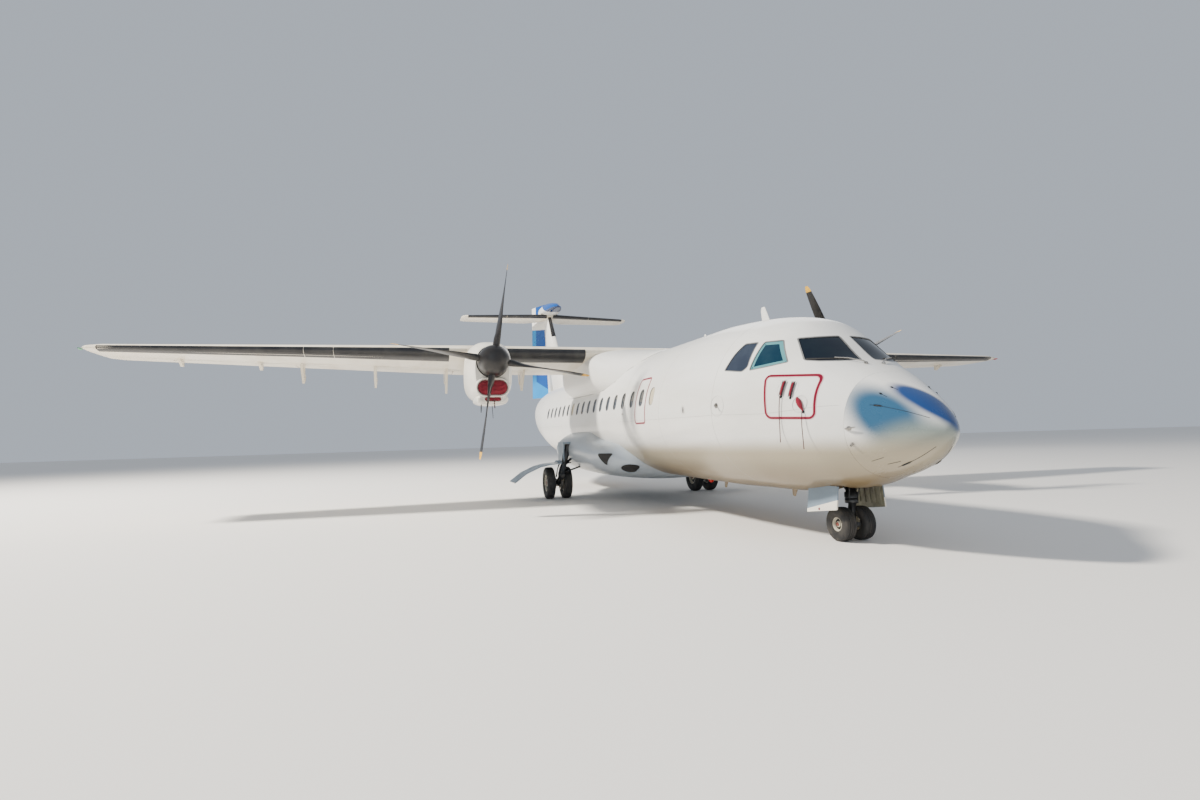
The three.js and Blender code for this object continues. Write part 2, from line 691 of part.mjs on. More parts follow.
const flankPlate = (outline, y0, y1) => {
  const geometry = plate(outline.map(([station, z]) => [-station, z]), y1 - y0);
  geometry.rotateX(Math.PI / 2);
  return solid(geometry.translate(0, y1, 0));
};

function hingeFairing(y, depth, pivot = null) {
  const foil = sectionAt(WING, y);
  const fore = foilPoint(foil, FAIRING.fore, false);
  const aft = foilPoint(foil, FAIRING.aft, false);
  const tail = pivot
    ? [
      [pivot.station + FAIRING_EYE.aft, pivot.z - FAIRING_EYE.low],
      [pivot.station + FAIRING_EYE.aft, pivot.z + FAIRING_EYE.high],
      [aft.station, pivot.z + FAIRING_EYE.shoulder],
    ]
    : [[aft.station, aft.across - depth * FAIRING.tailDrop]];
  return flankPlate([
    [fore.station, fore.across + FAIRING.sunk],
    [fore.station + FAIRING.noseRun, fore.across - depth * FAIRING.noseDrop],
    [aft.station - FAIRING.heel, aft.across - depth],
    ...tail,
    [aft.station, aft.across + FAIRING.sunk],
  ], y - FAIRING.width / 2, y + FAIRING.width / 2);
}

// A flap hangs on a lug beside the carrier, with a pin through both
function flapCarrier(surface, hinge, [y, depth]) {
  const middle = hinge.point.clone().addScaledVector(hinge.axis, (y - hinge.point.y) / hinge.axis.y);
  const pivot = { station: -middle.x, z: middle.z };
  const skin = foilPoint(sectionAt(WING, y), surface.share, false).across + FLAP_LUG.sunk;
  const { near, far, pin, play, low, fore, aft, head } = FLAP_LUG;
  const lug = flankPlate([
    [pivot.station - fore, pivot.z - low],
    [pivot.station + aft, pivot.z - low],
    [pivot.station + head[1], skin],
    [pivot.station + head[0], skin],
  ], y + near, y + far);
  const bore = hingeRod(middle, hinge.axis, -far, far, pin + play);
  return {
    fixed: hingeFairing(y, depth, pivot).subtract(bore),
    moving: lug.add(hingeRod(middle, hinge.axis, -near, near + 4, pin)),
  };
}

for (const surface of WING_MOVABLES) {
  const { leaf, cut, lugs, hinge } = movable(WING, WING_FRAME, surface);
  const carriers = (surface.carriers ?? []).map((row) => flapCarrier(surface, hinge, row));
  const fixed = [...lugs, ...carriers.map((carrier) => carrier.fixed)];
  if (surface.inner < WING_JOINT) {
    wingCentre = wingCentre.subtract(cut).subtract(mirrored(cut));
    for (const piece of fixed) wingCentre = wingCentre.add(piece).add(mirrored(piece));
  } else {
    wingOuter = wingOuter.subtract(cut);
    for (const piece of fixed) wingOuter = wingOuter.add(piece);
  }
  const whole = carriers.reduce((body, carrier) => body.add(carrier.moving), leaf);
  for (const [name, side] of SIDES) {
    place(airframe, `${surface.name}_${name}`, sided(whole, side), PAINT, mirroredHinge(hinge, side));
  }
}
for (const [y, depth] of AILERON_FAIRINGS) wingOuter = wingOuter.add(hingeFairing(y, depth));
place(airframe, 'wing_centre', wingCentre, PAINT);
for (const [name, side] of SIDES) place(airframe, `wing_${name}`, sided(wingOuter, side), PAINT);
fuselage = fuselage.subtract(wingSeat);

// Rounded sections that a body is lofted through, with a corner power of 2 for an ellipse
const RING_POINTS = 22;
function roundedRing({ station, half, top, bottom, mid, power }, y = 0) {
  const ring = [];
  const bend = (v) => Math.sign(v) * Math.abs(v) ** (2 / power);
  for (let i = 0; i < RING_POINTS; i++) {
    const angle = (i + 0.5) * 2 * Math.PI / RING_POINTS;
    const rise = Math.cos(angle) > 0 ? top - mid : mid - bottom;
    ring.push(at(station, y + half * bend(Math.sin(angle)), mid + rise * bend(Math.cos(angle))));
  }
  return ring;
}
const grownSection = (row, by) => (
  { ...row, half: row.half + by, top: row.top + by, bottom: row.bottom - by });
const sections = (table) => table.map(([station, half, mid, top, bottom, power]) => (
  { station, half, mid, top, bottom, power }));

// Wing to body fairing: station, half width, height of the widest line, top, bottom, corner power
const WING_FAIRING = sections([
  [7500, 300, 3200, 3430, 3000, 2.2],
  [7950, 780, 3200, 3560, 2950, 2.3],
  [8400, 1180, 3200, 3720, 2860, 2.5],
  [8900, 1460, 3220, 3850, 2780, 2.7],
  [9500, 1570, 3250, 3910, 2750, 2.9],
  [11500, 1580, 3250, 3900, 2750, 2.9],
  [12500, 1400, 3220, 3780, 2850, 2.6],
  [13400, 950, 3180, 3590, 2980, 2.3],
  [14200, 400, 3150, 3430, 3080, 2.1],
]);
const fuselageSeat = fuselageSolid(RADOME_END, TAIL_END, -SEAT);
let wingFairing = loft(WING_FAIRING.map((row) => roundedRing(row)));
wingFairing = wingFairing.subtract(fuselageSeat).subtract(wingSeat);
place(airframe, 'wing_fairing', wingFairing, PAINT);

// Nacelles: the same columns
const NACELLE = sections([
  [7440, 345, 3050, 3490, 2440, 2.3],
  [7520, 385, 3030, 3530, 2330, 2.4],
  [7700, 430, 3010, 3590, 2290, 2.5],
  [8000, 470, 3000, 3650, 2280, 2.7],
  [8500, 486, 3000, 3685, 2310, 2.8],
  [9300, 442, 3050, 3720, 2400, 2.8],
  [10200, 378, 3120, 3745, 2560, 2.6],
  [11100, 310, 3200, 3590, 2760, 2.4],
  [11900, 235, 3240, 3470, 2980, 2.2],
  [12500, 90, 3300, 3370, 3210, 2.0],
]);
// Chin intake and the small scoop below it
const INTAKE = { half: 305, low: 2490, high: 2800, fore: 7300, aft: 8150 };
const SCOOP = { half: 165, low: 2365, high: 2455, fore: 7300, aft: 7850 };
function duct({ half, low, high }, fore, aft, inset) {
  const radius = (high - low) / 2 - inset;
  const arm = half - inset - radius;
  const middle = (low + high) / 2;
  const shape = new THREE.Shape();
  shape.absarc(arm, middle, radius, -Math.PI / 2, Math.PI / 2);
  shape.absarc(-arm, middle, radius, Math.PI / 2, Math.PI * 1.5);
  const settings = { depth: aft - fore, bevelEnabled: false, curveSegments: 5 };
  const geometry = new THREE.ExtrudeGeometry(shape, settings);
  geometry.rotateX(Math.PI / 2);
  geometry.rotateZ(Math.PI / 2);
  return solid(geometry.translate(-aft, ENGINE_Y, 0));
}
const ENGINE_BLOCK = { fore: 7640, aft: 9700, half: 310, low: 2840, high: 3360 };
function engineBox(inset) {
  const { fore, aft, half, low, high } = ENGINE_BLOCK;
  return box(
    at(fore + inset, ENGINE_Y - half + inset, low + inset),
    at(aft - inset, ENGINE_Y + half - inset, high - inset),
  );
}
const SHAFT = { radius: 60, play: 6, fore: 7400, aft: 7700 };
const EXHAUST = {
  from: at(10700, 4060, 3010),
  to: at(11740, 4100, 2890),
  hollow: [0.45, 1.2],
  radius: 120,
  wall: 14,
};
const thrust = (station) => at(station, ENGINE_Y, THRUST_Z);
let nacelle = loft(NACELLE.map((row) => roundedRing(row, ENGINE_Y)));
nacelle = nacelle.add(rod(EXHAUST.from, EXHAUST.to, EXHAUST.radius, 14));
const [pipeFrom, pipeTo] = EXHAUST.hollow.map((share) => EXHAUST.from.clone().lerp(EXHAUST.to, share));
nacelle = nacelle.subtract(rod(pipeFrom, pipeTo, EXHAUST.radius - EXHAUST.wall, 14));
for (const mouth of [INTAKE, SCOOP]) nacelle = nacelle.subtract(duct(mouth, mouth.fore, mouth.aft, 0));
nacelle = nacelle.subtract(engineBox(0)).subtract(rod(
  thrust(SHAFT.fore),
  thrust(SHAFT.aft),
  SHAFT.radius + SHAFT.play,
  16,
));
nacelle = nacelle.subtract(wingSeat);
// The padded plug fills both mouths, with a strap down its face
const PLUG = { face: 7425, intakeEnd: 7700, scoopEnd: 7650 };
const STRAP = { half: 30, thick: 10, low: 20, high: 60 };
let plug = duct(INTAKE, PLUG.face, PLUG.intakeEnd, SEAT).add(duct(SCOOP, PLUG.face, PLUG.scoopEnd, SEAT));
plug = plug.add(box(
  at(PLUG.face - STRAP.thick, ENGINE_Y - STRAP.half, SCOOP.low + STRAP.low),
  at(PLUG.face, ENGINE_Y + STRAP.half, INTAKE.high - STRAP.high),
));
for (const [name, side] of SIDES) {
  place(airframe, `nacelle_${name}`, sided(nacelle, side), PAINT);
  place(airframe, `engine_${name}`, sided(engineBox(SEAT), side), ENGINE);
  place(airframe, `intake_cover_${name}`, sided(plug, side), COVER);
}

// Propellers: distance out, chord, thickness, angle of the chord from straight ahead
const BLADE = [
  [120, 144, 144, 0.5],
  [330, 150, 138, 0.5],
  [560, 235, 84, 0.42],
  [900, 320, 48, 0.24],
  [1300, 325, 30, 0.08],
  [1650, 285, 20, -0.03],
  [1880, 220, 13, -0.09],
  [PROPELLER.radius, 110, 7, -0.11],
].map(([out, chord, thick, angle]) => ({ out, chord, thick, angle }));
const BLADE_POINTS = 8;
function bladeRing({ out, chord, thick, angle }, turn) {
  return Array.from({ length: BLADE_POINTS }, (_, i) => {
    const around = (i + 0.5) * 2 * Math.PI / BLADE_POINTS;
    const [a, b] = [chord / 2 * Math.cos(around), thick / 2 * Math.sin(around)];
    const point = new THREE.Vector3(a * Math.cos(angle) - b * Math.sin(angle), a * Math.sin(angle)
      + b * Math.cos(angle), out);
    return point.applyAxisAngle(new THREE.Vector3(1, 0, 0), turn).add(thrust(PROPELLER.station));
  });
}
const HUB = { fore: 7040, aft: 7260, radius: 165 };
const SPINNER_ROWS = 4;
let blades = rod(thrust(HUB.aft), thrust(HUB.fore), HUB.radius, 16);
blades = blades.add(rod(thrust(ENGINE_BLOCK.fore), thrust(HUB.aft - 20), SHAFT.radius, 16));
const outline = [[SPINNER.radius, SPINNER.back], [SPINNER.radius, SPINNER.back - 130]];
const shoulder = SPINNER.back - 130;
for (let i = 1; i < SPINNER_ROWS; i++) {
  const angle = Math.PI / 2 * i / SPINNER_ROWS;
  outline.push([SPINNER.radius * Math.cos(angle), shoulder - (shoulder - SPINNER.front) * Math.sin(angle)]);
}
const profile = [[0, SPINNER.back], ...outline, [0, SPINNER.front]];
const spinnerGeometry = turnedAboutY(profile.map(([radius, station]) => [radius, -station]), 20);
spinnerGeometry.rotateZ(-Math.PI / 2);
let spinner = solid(spinnerGeometry.translate(0, ENGINE_Y, THRUST_Z));
spinner = spinner.subtract(rod(thrust(SPINNER.back + 50), thrust(HUB.fore - SEAT), HUB.radius + SEAT, 16));
for (let i = 0; i < PROPELLER.blades; i++) {
  const turn = i * 2 * Math.PI / PROPELLER.blades;
  blades = blades.add(loft(BLADE.map((row) => bladeRing(row, turn))));
  const out = new THREE.Vector3(0, 0, 1).applyAxisAngle(new THREE.Vector3(1, 0, 0), turn);
  const root = thrust(PROPELLER.station);
  spinner = spinner.subtract(rod(root, root.clone().addScaledVector(out, 500), 80, 10));
}
for (const [name, side] of SIDES) {
  const hinge = { point: sidedPoint(thrust(PROPELLER.station), side), axis: new THREE.Vector3(1, 0, 0) };
  place(airframe, `propeller_${name}`, sided(blades, side), BOOT, hinge, -BLADE_TURN[name]);
  place(airframe, `spinner_${name}`, sided(spinner, side), BOOT, hinge, -BLADE_TURN[name]);
}

// Landing gear fairing under the belly: the same columns
const GEAR_FAIRING = sections([
  [6300, 860, 1000, 1150, 800, 2.0],
  [6800, 1310, 1080, 1420, 690, 2.1],
  [7400, 1590, 1130, 1620, 615, 2.2],
  [8200, 1800, 1190, 1770, 565, 2.2],
  [9200, 1930, 1240, 1840, 535, 2.2],
  [10300, 1970, 1250, 1850, 530, 2.2],
  [11300, 1930, 1250, 1850, 545, 2.2],
  [12200, 1760, 1230, 1780, 610, 2.2],
  [13000, 1430, 1180, 1600, 720, 2.1],
  [13700, 900, 1100, 1300, 900, 2.0],
]);
const WELL = { fore: 9950, aft: 11150, inner: 780, roof: 1400 };
const JACK_PAD = { radius: 60, noseStation: 3300, noseLow: 722, sideStation: 9250, sideY: 700, sideLow: 535 };
let gearFairing = loft(GEAR_FAIRING.map((row) => roundedRing(row)));
for (const side of [1, -1]) {
  const well = box(at(WELL.fore, side * WELL.inner, 0), at(WELL.aft, side * 2600, WELL.roof));
  const { sideStation, sideY, sideLow, radius } = JACK_PAD;
  const pad = rod(at(sideStation, side * sideY, sideLow), at(sideStation, side * sideY, 800), radius, 20);
  gearFairing = gearFairing.subtract(well).add(pad);
}
gearFairing = gearFairing.subtract(fuselageSeat);
place(airframe, 'landing_gear_fairing', gearFairing, PAINT);
const { noseStation, noseLow } = JACK_PAD;
fuselage = fuselage.add(rod(at(noseStation, 0, noseLow), at(noseStation, 0, 900), JACK_PAD.radius, 20));

// Main gear doors: one curved panel a side, hung outboard of the leg, as [y, z] along its upper face
const MAIN_DOOR = { fore: 10050, aft: 10960, thick: 22 };
const MAIN_DOOR_LINE = [
  [2085, 1450],
  [2085, 960],
  [2130, 915],
  [2350, 900],
  [2600, 850],
  [2950, 695],
  [3240, 480],
];
// Each hangs on two hinge arms from the fairing's side above the well
const MAIN_DOOR_ARMS = { stations: [10080, 10860], length: 70, low: 1404, high: 1440, inner: 1750 };
const doorFace = (y, z, i) => (i < 2 ? [y + MAIN_DOOR.thick, z + i * 20] : [y + 8, z + MAIN_DOOR.thick]);
const doorLine = [...MAIN_DOOR_LINE, ...MAIN_DOOR_LINE.map(([y, z], i) => doorFace(y, z, i)).reverse()];
const doorGeometry = plate(doorLine, MAIN_DOOR.aft - MAIN_DOOR.fore);
doorGeometry.rotateX(Math.PI / 2);
doorGeometry.rotateZ(Math.PI / 2);
let mainDoor = solid(doorGeometry.translate(-MAIN_DOOR.aft, 0, 0));
const fairingSeat = loft(GEAR_FAIRING.map((row) => roundedRing(grownSection(row, SEAT))));
for (const station of MAIN_DOOR_ARMS.stations) {
  const { length, low, high, inner } = MAIN_DOOR_ARMS;
  const outer = MAIN_DOOR_LINE[0][0] + MAIN_DOOR.thick / 2;
  const arm = box(at(station, inner, low), at(station + length, outer, high));
  mainDoor = mainDoor.add(arm.subtract(fairingSeat));
}
for (const [name, side] of SIDES) place(airframe, `main_gear_door_${name}`, sided(mainDoor, side), PAINT);

// Fin sections: height, leading edge, trailing edge, thickness ratio
const FIN = [
  [2950, 17440, 22100, 0.09],
  [TAIL_Z, 20700, 22600, 0.12],
  [7400, 21184, 22690, 0.13],
].map(([along, lead, trail, thick]) => (
  { along, lead, z: 0, chord: trail - lead, thick, fall: 0, curved: 0 }));

// Tailplane sections: y, leading edge, chord, thickness ratio
const TAILPLANE = [
  [0, 20620, 2050, 0.12],
  [3480, 21180, 1330, 0.11],
  [3600, 21260, 1150, 0.09],
  [TAIL_SPAN / 2, 21400, 950, 0.05],
].map(([along, lead, chord, thick]) => ({ along, lead, z: TAIL_Z, chord, thick, fall: 0, curved: 0 }));
const tailRing = (y, grow) => foilRing(grownFoil(sectionAt(TAILPLANE, Math.abs(y)), grow), y, WING_FRAME);
const tailHalf = TAILPLANE.map((row) => row.along);
const tailLine = [...tailHalf.map((y) => -y).reverse(), ...tailHalf.slice(1)];
let tailplane = loft(tailLine.map((y) => tailRing(y, 0)));
const tailplaneSeat = loft(tailLine.map((y) => tailRing(y, SEAT)));

// The rudder's swing, in plan, keeps clear of the tailplane and the elevators
const SWING = upright(
  [[21290, 175], [21500, 195], [23000, 1035], [23000, -1035], [21500, -195], [21290, -175]],
  6300,
  7100,
);
const ELEVATOR = { inner: 240, outer: 3440, turns: [ELEVATOR_HINGE, ELEVATOR_HINGE], brackets: [1100, 2500] };
const elevator = movable(TAILPLANE, WING_FRAME, ELEVATOR);
const elevatorLeaf = elevator.leaf.subtract(SWING);
tailplane = tailplane.subtract(elevator.cut).subtract(mirrored(elevator.cut)).subtract(SWING);
for (const lug of elevator.lugs) tailplane = tailplane.add(lug).add(mirrored(lug));
place(airframe, 'tailplane', tailplane, PAINT);
for (const [name, side] of SIDES) {
  place(airframe, `elevator_${name}`, sided(elevatorLeaf, side), PAINT, mirroredHinge(elevator.hinge, side));
}

const rudder = movable(FIN, FIN_FRAME, RUDDER);
place(airframe, 'rudder', rudder.leaf, BLUE, rudder.hinge, RUDDER_REST);

// The dorsal fillet ahead of the fin, as [station, height]
const DORSAL = [[15300, 3400], [15300, 3455], [17300, 3780], [18700, 4330], [19200, 4330], [19200, 3400]];
const DORSAL_WIDTH = 130;
const dorsal = flankPlate(DORSAL, -DORSAL_WIDTH / 2, DORSAL_WIDTH / 2);
const finRing = (row) => foilRing(row, row.along, FIN_FRAME);
let fin = loft(FIN.slice(0, 2).map(finRing)).add(dorsal);
fin = rudder.lugs.reduce((body, lug) => body.add(lug), fin.subtract(rudder.cut));
fin = fin.subtract(fuselageSeat).subtract(tailplaneSeat);
place(airframe, 'fin', fin, PAINT);

// Cap over the fin and tailplane joint: the same columns as the fairings
const FIN_CAP = sections([
  [19450, 40, 6835, 6880, 6790, 2.0],
  [19600, 175, 6835, 6960, 6725, 2.0],
  [19850, 270, 6840, 7050, 6704, 2.1],
  [20300, 345, 6850, 7150, 6704, 2.2],
  [20900, 385, 6860, 7225, 6704, 2.3],
  [21330, 380, 6860, 7245, 6704, 2.3],
]);
place(airframe, 'fin_cap', loft(FIN_CAP.map((row) => roundedRing(row))).subtract(tailplaneSeat), BLUE);

place(airframe, 'radome', radome, PAINT);
place(airframe, 'fuselage', fuselage, PAINT);

// Wheels: tyre and rim profiles as [radius, y] about the wheel's middle
function wheelProfiles({ radius, width, rim }) {
  const half = width / 2;
  const depth = radius - rim;
  const side = [
    [rim + SEAT, 0.68 * half],
    [rim + 0.4 * depth, half],
    [rim + 0.84 * depth, 0.82 * half],
    [radius, 0.42 * half],
  ];
  const tyre = [...side, ...side.map(([r, y]) => [r, -y]).reverse(), side[0]];
  const face = [
    [0, 0.5 * half],
    [0.88 * rim, 0.3 * half],
    [rim, 0.68 * half],
  ];
  return { tyre, disc: [...face, ...face.map(([r, y]) => [r, -y]).reverse()] };
}

function wheelPart(wheel, profile, centre) {
  const flat = Math.cos(Math.PI / wheel.sides);
  const points = profile.map(([radius, y]) => [radius / flat, y]);
  const geometry = turnedAboutY(points, wheel.sides, Math.PI / wheel.sides);
  return solid(geometry.translate(centre.x, centre.y, centre.z));
}

// A rod along Y through a middle point
const across = (middle, reach, radius, sides) => rod(
  middle.clone().setY(middle.y - reach),
  middle.clone().setY(middle.y + reach),
  radius,
  sides,
);

function wheelPair(wheel, middle, axle) {
  const { tyre, disc } = wheelProfiles(wheel);
  const centres = [1, -1].map((way) => middle.clone().setY(middle.y + way * wheel.spread / 2));
  const shaft = across(middle, wheel.spread / 2, axle, AXLE_SIDES);
  return {
    tyres: centres.map((centre) => wheelPart(wheel, tyre, centre)),
    rims: centres.reduce((body, centre) => body.add(wheelPart(wheel, disc, centre)), shaft),
    hinge: { point: middle, axis: new THREE.Vector3(0, 1, 0) },
  };
}

const BORE_PLAY = 0.9;
const AXLE_SIDES = 20;
const MAIN_AXLE = 48;
const NOSE_AXLE = 28;
const MAIN_LEG = {
  head: new THREE.Vector3(-10150, 1850, 1391.2),
  foot: new THREE.Vector3(-10100, HALF_TRACK, 620),
  radius: 72,
  collar: { length: 170, radius: 95, below: 30 },
  knuckle: { reach: 70, radius: 95 },
  arm: 55,
  hub: { reach: 62, radius: 95, bore: 90 },
};
const SHOCK = { share: 0.62, top: new THREE.Vector3(-10330, 1900, 1150), low: 42, high: 50, headZ: 1300 };
const SIDE_BRACE = { share: 0.3, end: new THREE.Vector3(-10130, 1420, 1355.2), radius: 34 };
const mainHub = new THREE.Vector3(-MAIN_GEAR, HALF_TRACK, MAIN_WHEEL.radius);
const neck = MAIN_LEG.head.clone();
neck.z -= MAIN_LEG.collar.below;
const collarLow = neck.clone();
collarLow.z -= MAIN_LEG.collar.length - MAIN_LEG.collar.below;
const shockLow = MAIN_LEG.foot.clone().lerp(mainHub, SHOCK.share);
const braceLow = MAIN_LEG.foot.clone().lerp(neck, SIDE_BRACE.share);
const mainLeg = [
  rod(collarLow, MAIN_LEG.head, MAIN_LEG.collar.radius, 14),
  across(MAIN_LEG.foot, MAIN_LEG.knuckle.reach, MAIN_LEG.knuckle.radius, 14),
  rod(MAIN_LEG.foot, mainHub, MAIN_LEG.arm, 10),
  across(mainHub, MAIN_LEG.hub.reach, MAIN_LEG.hub.radius, 16),
  rod(shockLow, SHOCK.top, SHOCK.low, 10),
  rod(SHOCK.top, MAIN_LEG.head.clone().setZ(SHOCK.headZ), SHOCK.high, 10),
  rod(braceLow, SIDE_BRACE.end, SIDE_BRACE.radius, 8),
].reduce((body, piece) => body.add(piece), rod(MAIN_LEG.foot, neck, MAIN_LEG.radius, 14))
  .subtract(across(mainHub, MAIN_LEG.hub.bore, MAIN_AXLE + BORE_PLAY, AXLE_SIDES));
const mainWheels = wheelPair(MAIN_WHEEL, mainHub, MAIN_AXLE);
for (const [name, side] of SIDES) {
  const hinge = { point: sidedPoint(mainHub, side), axis: new THREE.Vector3(0, 1, 0) };
  place(ground, `main_gear_leg_${name}`, sided(mainLeg, side), STEEL);
  place(ground, `main_wheel_${name}`, sided(mainWheels.rims, side), WHEEL, hinge);
  place(ground, `main_tyre_${name}_outer`, sided(mainWheels.tyres[0], side), RUBBER, hinge);
  place(ground, `main_tyre_${name}_inner`, sided(mainWheels.tyres[1], side), RUBBER, hinge);
}

// Nose gear: a fixed leg, and below it the part that steers
const STEER = { station: 1776, split: 560, top: 1086, legRadius: 70, pistonRadius: 46 };
const PISTON = { into: 100, play: 0.7 };
const LEG_COLLAR = { length: 80, radius: 88 };
const DRAG_BRACE = { low: 720, end: new THREE.Vector3(-2120, 0, 1055), radius: 32 };
const FORK = { crown: { below: 60, radius: 86 }, stemAbove: 20, eye: { reach: 50, radius: 56, bore: 90 } };
const TRAIL_LINK = { low: 330, radius: 46 };
const TOW_LUG = { fore: 1660, half: 30, low: 195, high: 255 };
const steerAt = (z) => new THREE.Vector3(-STEER.station, 0, z);
const noseHub = new THREE.Vector3(-NOSE_GEAR, 0, NOSE_WHEEL.radius);
const legFoot = STEER.split + GAP;
const noseLeg = rod(steerAt(legFoot), steerAt(STEER.top), STEER.legRadius, 20)
  .add(rod(steerAt(legFoot), steerAt(STEER.split + LEG_COLLAR.length), LEG_COLLAR.radius, 20))
  .subtract(rod(
    steerAt(STEER.split - GAP),
    steerAt(STEER.split + PISTON.into + SEAT),
    STEER.pistonRadius + PISTON.play,
    20,
  ))
  .add(rod(steerAt(DRAG_BRACE.low), DRAG_BRACE.end, DRAG_BRACE.radius, 12));
const stemFoot = steerAt(NOSE_WHEEL.radius + FORK.stemAbove);
const noseFork = rod(steerAt(STEER.split - FORK.crown.below), steerAt(STEER.split), FORK.crown.radius, 20)
  .add(rod(stemFoot, steerAt(STEER.split + PISTON.into), STEER.pistonRadius, 20))
  .add(across(noseHub, FORK.eye.reach, FORK.eye.radius, 20))
  .add(rod(noseHub, steerAt(TRAIL_LINK.low), TRAIL_LINK.radius, 12))
  .add(box(at(TOW_LUG.fore, -TOW_LUG.half, TOW_LUG.low), at(STEER.station, TOW_LUG.half, TOW_LUG.high)))
  .subtract(across(noseHub, FORK.eye.bore, NOSE_AXLE + BORE_PLAY, 20));
const steering = { point: steerAt(STEER.split), axis: new THREE.Vector3(0, 0, 1) };
const noseWheels = wheelPair(NOSE_WHEEL, noseHub, NOSE_AXLE);
place(ground, 'nose_gear_leg', noseLeg, STEEL);
place(ground, 'nose_gear_fork', noseFork, STEEL, steering);
place(ground, 'nose_wheel', noseWheels.rims, WHEEL, noseWheels.hinge);
place(ground, 'nose_tyre_left', noseWheels.tyres[0], RUBBER, noseWheels.hinge);
place(ground, 'nose_tyre_right', noseWheels.tyres[1], RUBBER, noseWheels.hinge);

export default aircraft;
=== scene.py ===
import json
from math import cos, pi, radians, sin, tau

import bmesh
import bpy
import numpy as np
from mathutils import Matrix, Vector

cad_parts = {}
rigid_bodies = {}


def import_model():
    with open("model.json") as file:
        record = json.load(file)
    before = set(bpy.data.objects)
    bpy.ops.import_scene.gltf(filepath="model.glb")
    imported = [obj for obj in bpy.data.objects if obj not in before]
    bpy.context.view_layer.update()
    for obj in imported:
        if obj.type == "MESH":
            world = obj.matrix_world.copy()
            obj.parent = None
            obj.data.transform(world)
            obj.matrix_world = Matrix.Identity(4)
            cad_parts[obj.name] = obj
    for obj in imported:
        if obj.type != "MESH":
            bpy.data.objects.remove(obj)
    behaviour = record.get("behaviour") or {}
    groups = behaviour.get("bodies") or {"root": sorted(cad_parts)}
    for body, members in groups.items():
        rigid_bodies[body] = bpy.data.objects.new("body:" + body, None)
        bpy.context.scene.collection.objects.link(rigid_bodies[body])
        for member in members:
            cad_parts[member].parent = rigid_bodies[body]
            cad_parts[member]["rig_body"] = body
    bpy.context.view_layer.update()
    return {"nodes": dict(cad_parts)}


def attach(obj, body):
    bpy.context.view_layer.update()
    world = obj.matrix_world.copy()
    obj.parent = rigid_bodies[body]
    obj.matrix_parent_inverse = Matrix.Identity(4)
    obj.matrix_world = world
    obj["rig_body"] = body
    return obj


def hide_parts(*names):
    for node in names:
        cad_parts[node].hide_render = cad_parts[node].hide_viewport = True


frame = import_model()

# Sizes are millimetres along the airframe: a station aft of the nose, y to port and a height.
MM = 0.001
NOSE_X = 11.2535
NOSE_DOWN = 0.0186
PIVOT = 10.5
STANCE = (
    Matrix.Translation((NOSE_X - PIVOT, 0, 0))
    @ Matrix.Rotation(NOSE_DOWN, 4, "Y")
    @ Matrix.Translation((PIVOT, 0, 0))
)
SIDES = {"left": 1, "right": -1}


def air(station, y, z):
    """A point of the airframe, in metres as the aircraft stands."""
    return STANCE @ Vector((-station * MM, y * MM, z * MM))


def parked(station, y, z):
    """A point of the landing gear, which stands upright on the ground."""
    return Vector((NOSE_X - station * MM, y * MM, z * MM))


# The camera: its place, its turns in radians, and its lens and sensor in millimetres
EYE = Vector((NOSE_X + 5.309, -5.558, 1.396))
YAW, PITCH, ROLL = 2.8528, 0.0688, -0.0306
LENS, SENSOR = 18.673, 36.0
FARTHEST = 2000


def make_camera():
    ahead = Vector((cos(YAW) * cos(PITCH), sin(YAW) * cos(PITCH), sin(PITCH)))
    level = Vector((sin(YAW), -cos(YAW), 0))
    above = level.cross(ahead)
    right = level * cos(ROLL) + above * sin(ROLL)
    up = above * cos(ROLL) - level * sin(ROLL)
    data = bpy.data.cameras.new("camera")
    data.lens = LENS
    data.sensor_width = SENSOR
    data.clip_end = FARTHEST
    camera = bpy.data.objects.new("camera", data)
    turn = Matrix((right, up, -ahead)).transposed().to_4x4()
    camera.matrix_world = Matrix.Translation(EYE) @ turn
    bpy.context.scene.collection.objects.link(camera)
    bpy.context.scene.camera = camera


make_camera()


# Finishes: the fall of soiling marks, their noise and its range, and fine values that all finishes share
SOIL_FALL = 0.7
SOIL_NOISE = {"Detail": 6, "Roughness": 0.62}
SOIL_RANGE = {"From Min": 0.42, "From Max": 0.72}
GRAIN_DETAIL = 3
GRAIN_HEIGHT = 0.002
COAT_ROUGHNESS = 0.06
DULLING = 0.12


def set_inputs(node, values):
    for label, value in values.items():
        node.inputs[label].default_value = value


def add_node(tree, kind, **settings):
    node = tree.nodes.new(kind)
    for key, value in settings.items():
        setattr(node, key, value)
    return node


def new_group(name, inputs, outputs):
    tree = bpy.data.node_groups.new(name, "ShaderNodeTree")
    for label, value in inputs:
        socket = tree.interface.new_socket(label, in_out="INPUT", socket_type="NodeSocketFloat")
        socket.default_value = value
    for label in outputs:
        tree.interface.new_socket(label, in_out="OUTPUT", socket_type="NodeSocketFloat")
    return tree, add_node(tree, "NodeGroupInput"), add_node(tree, "NodeGroupOutput")


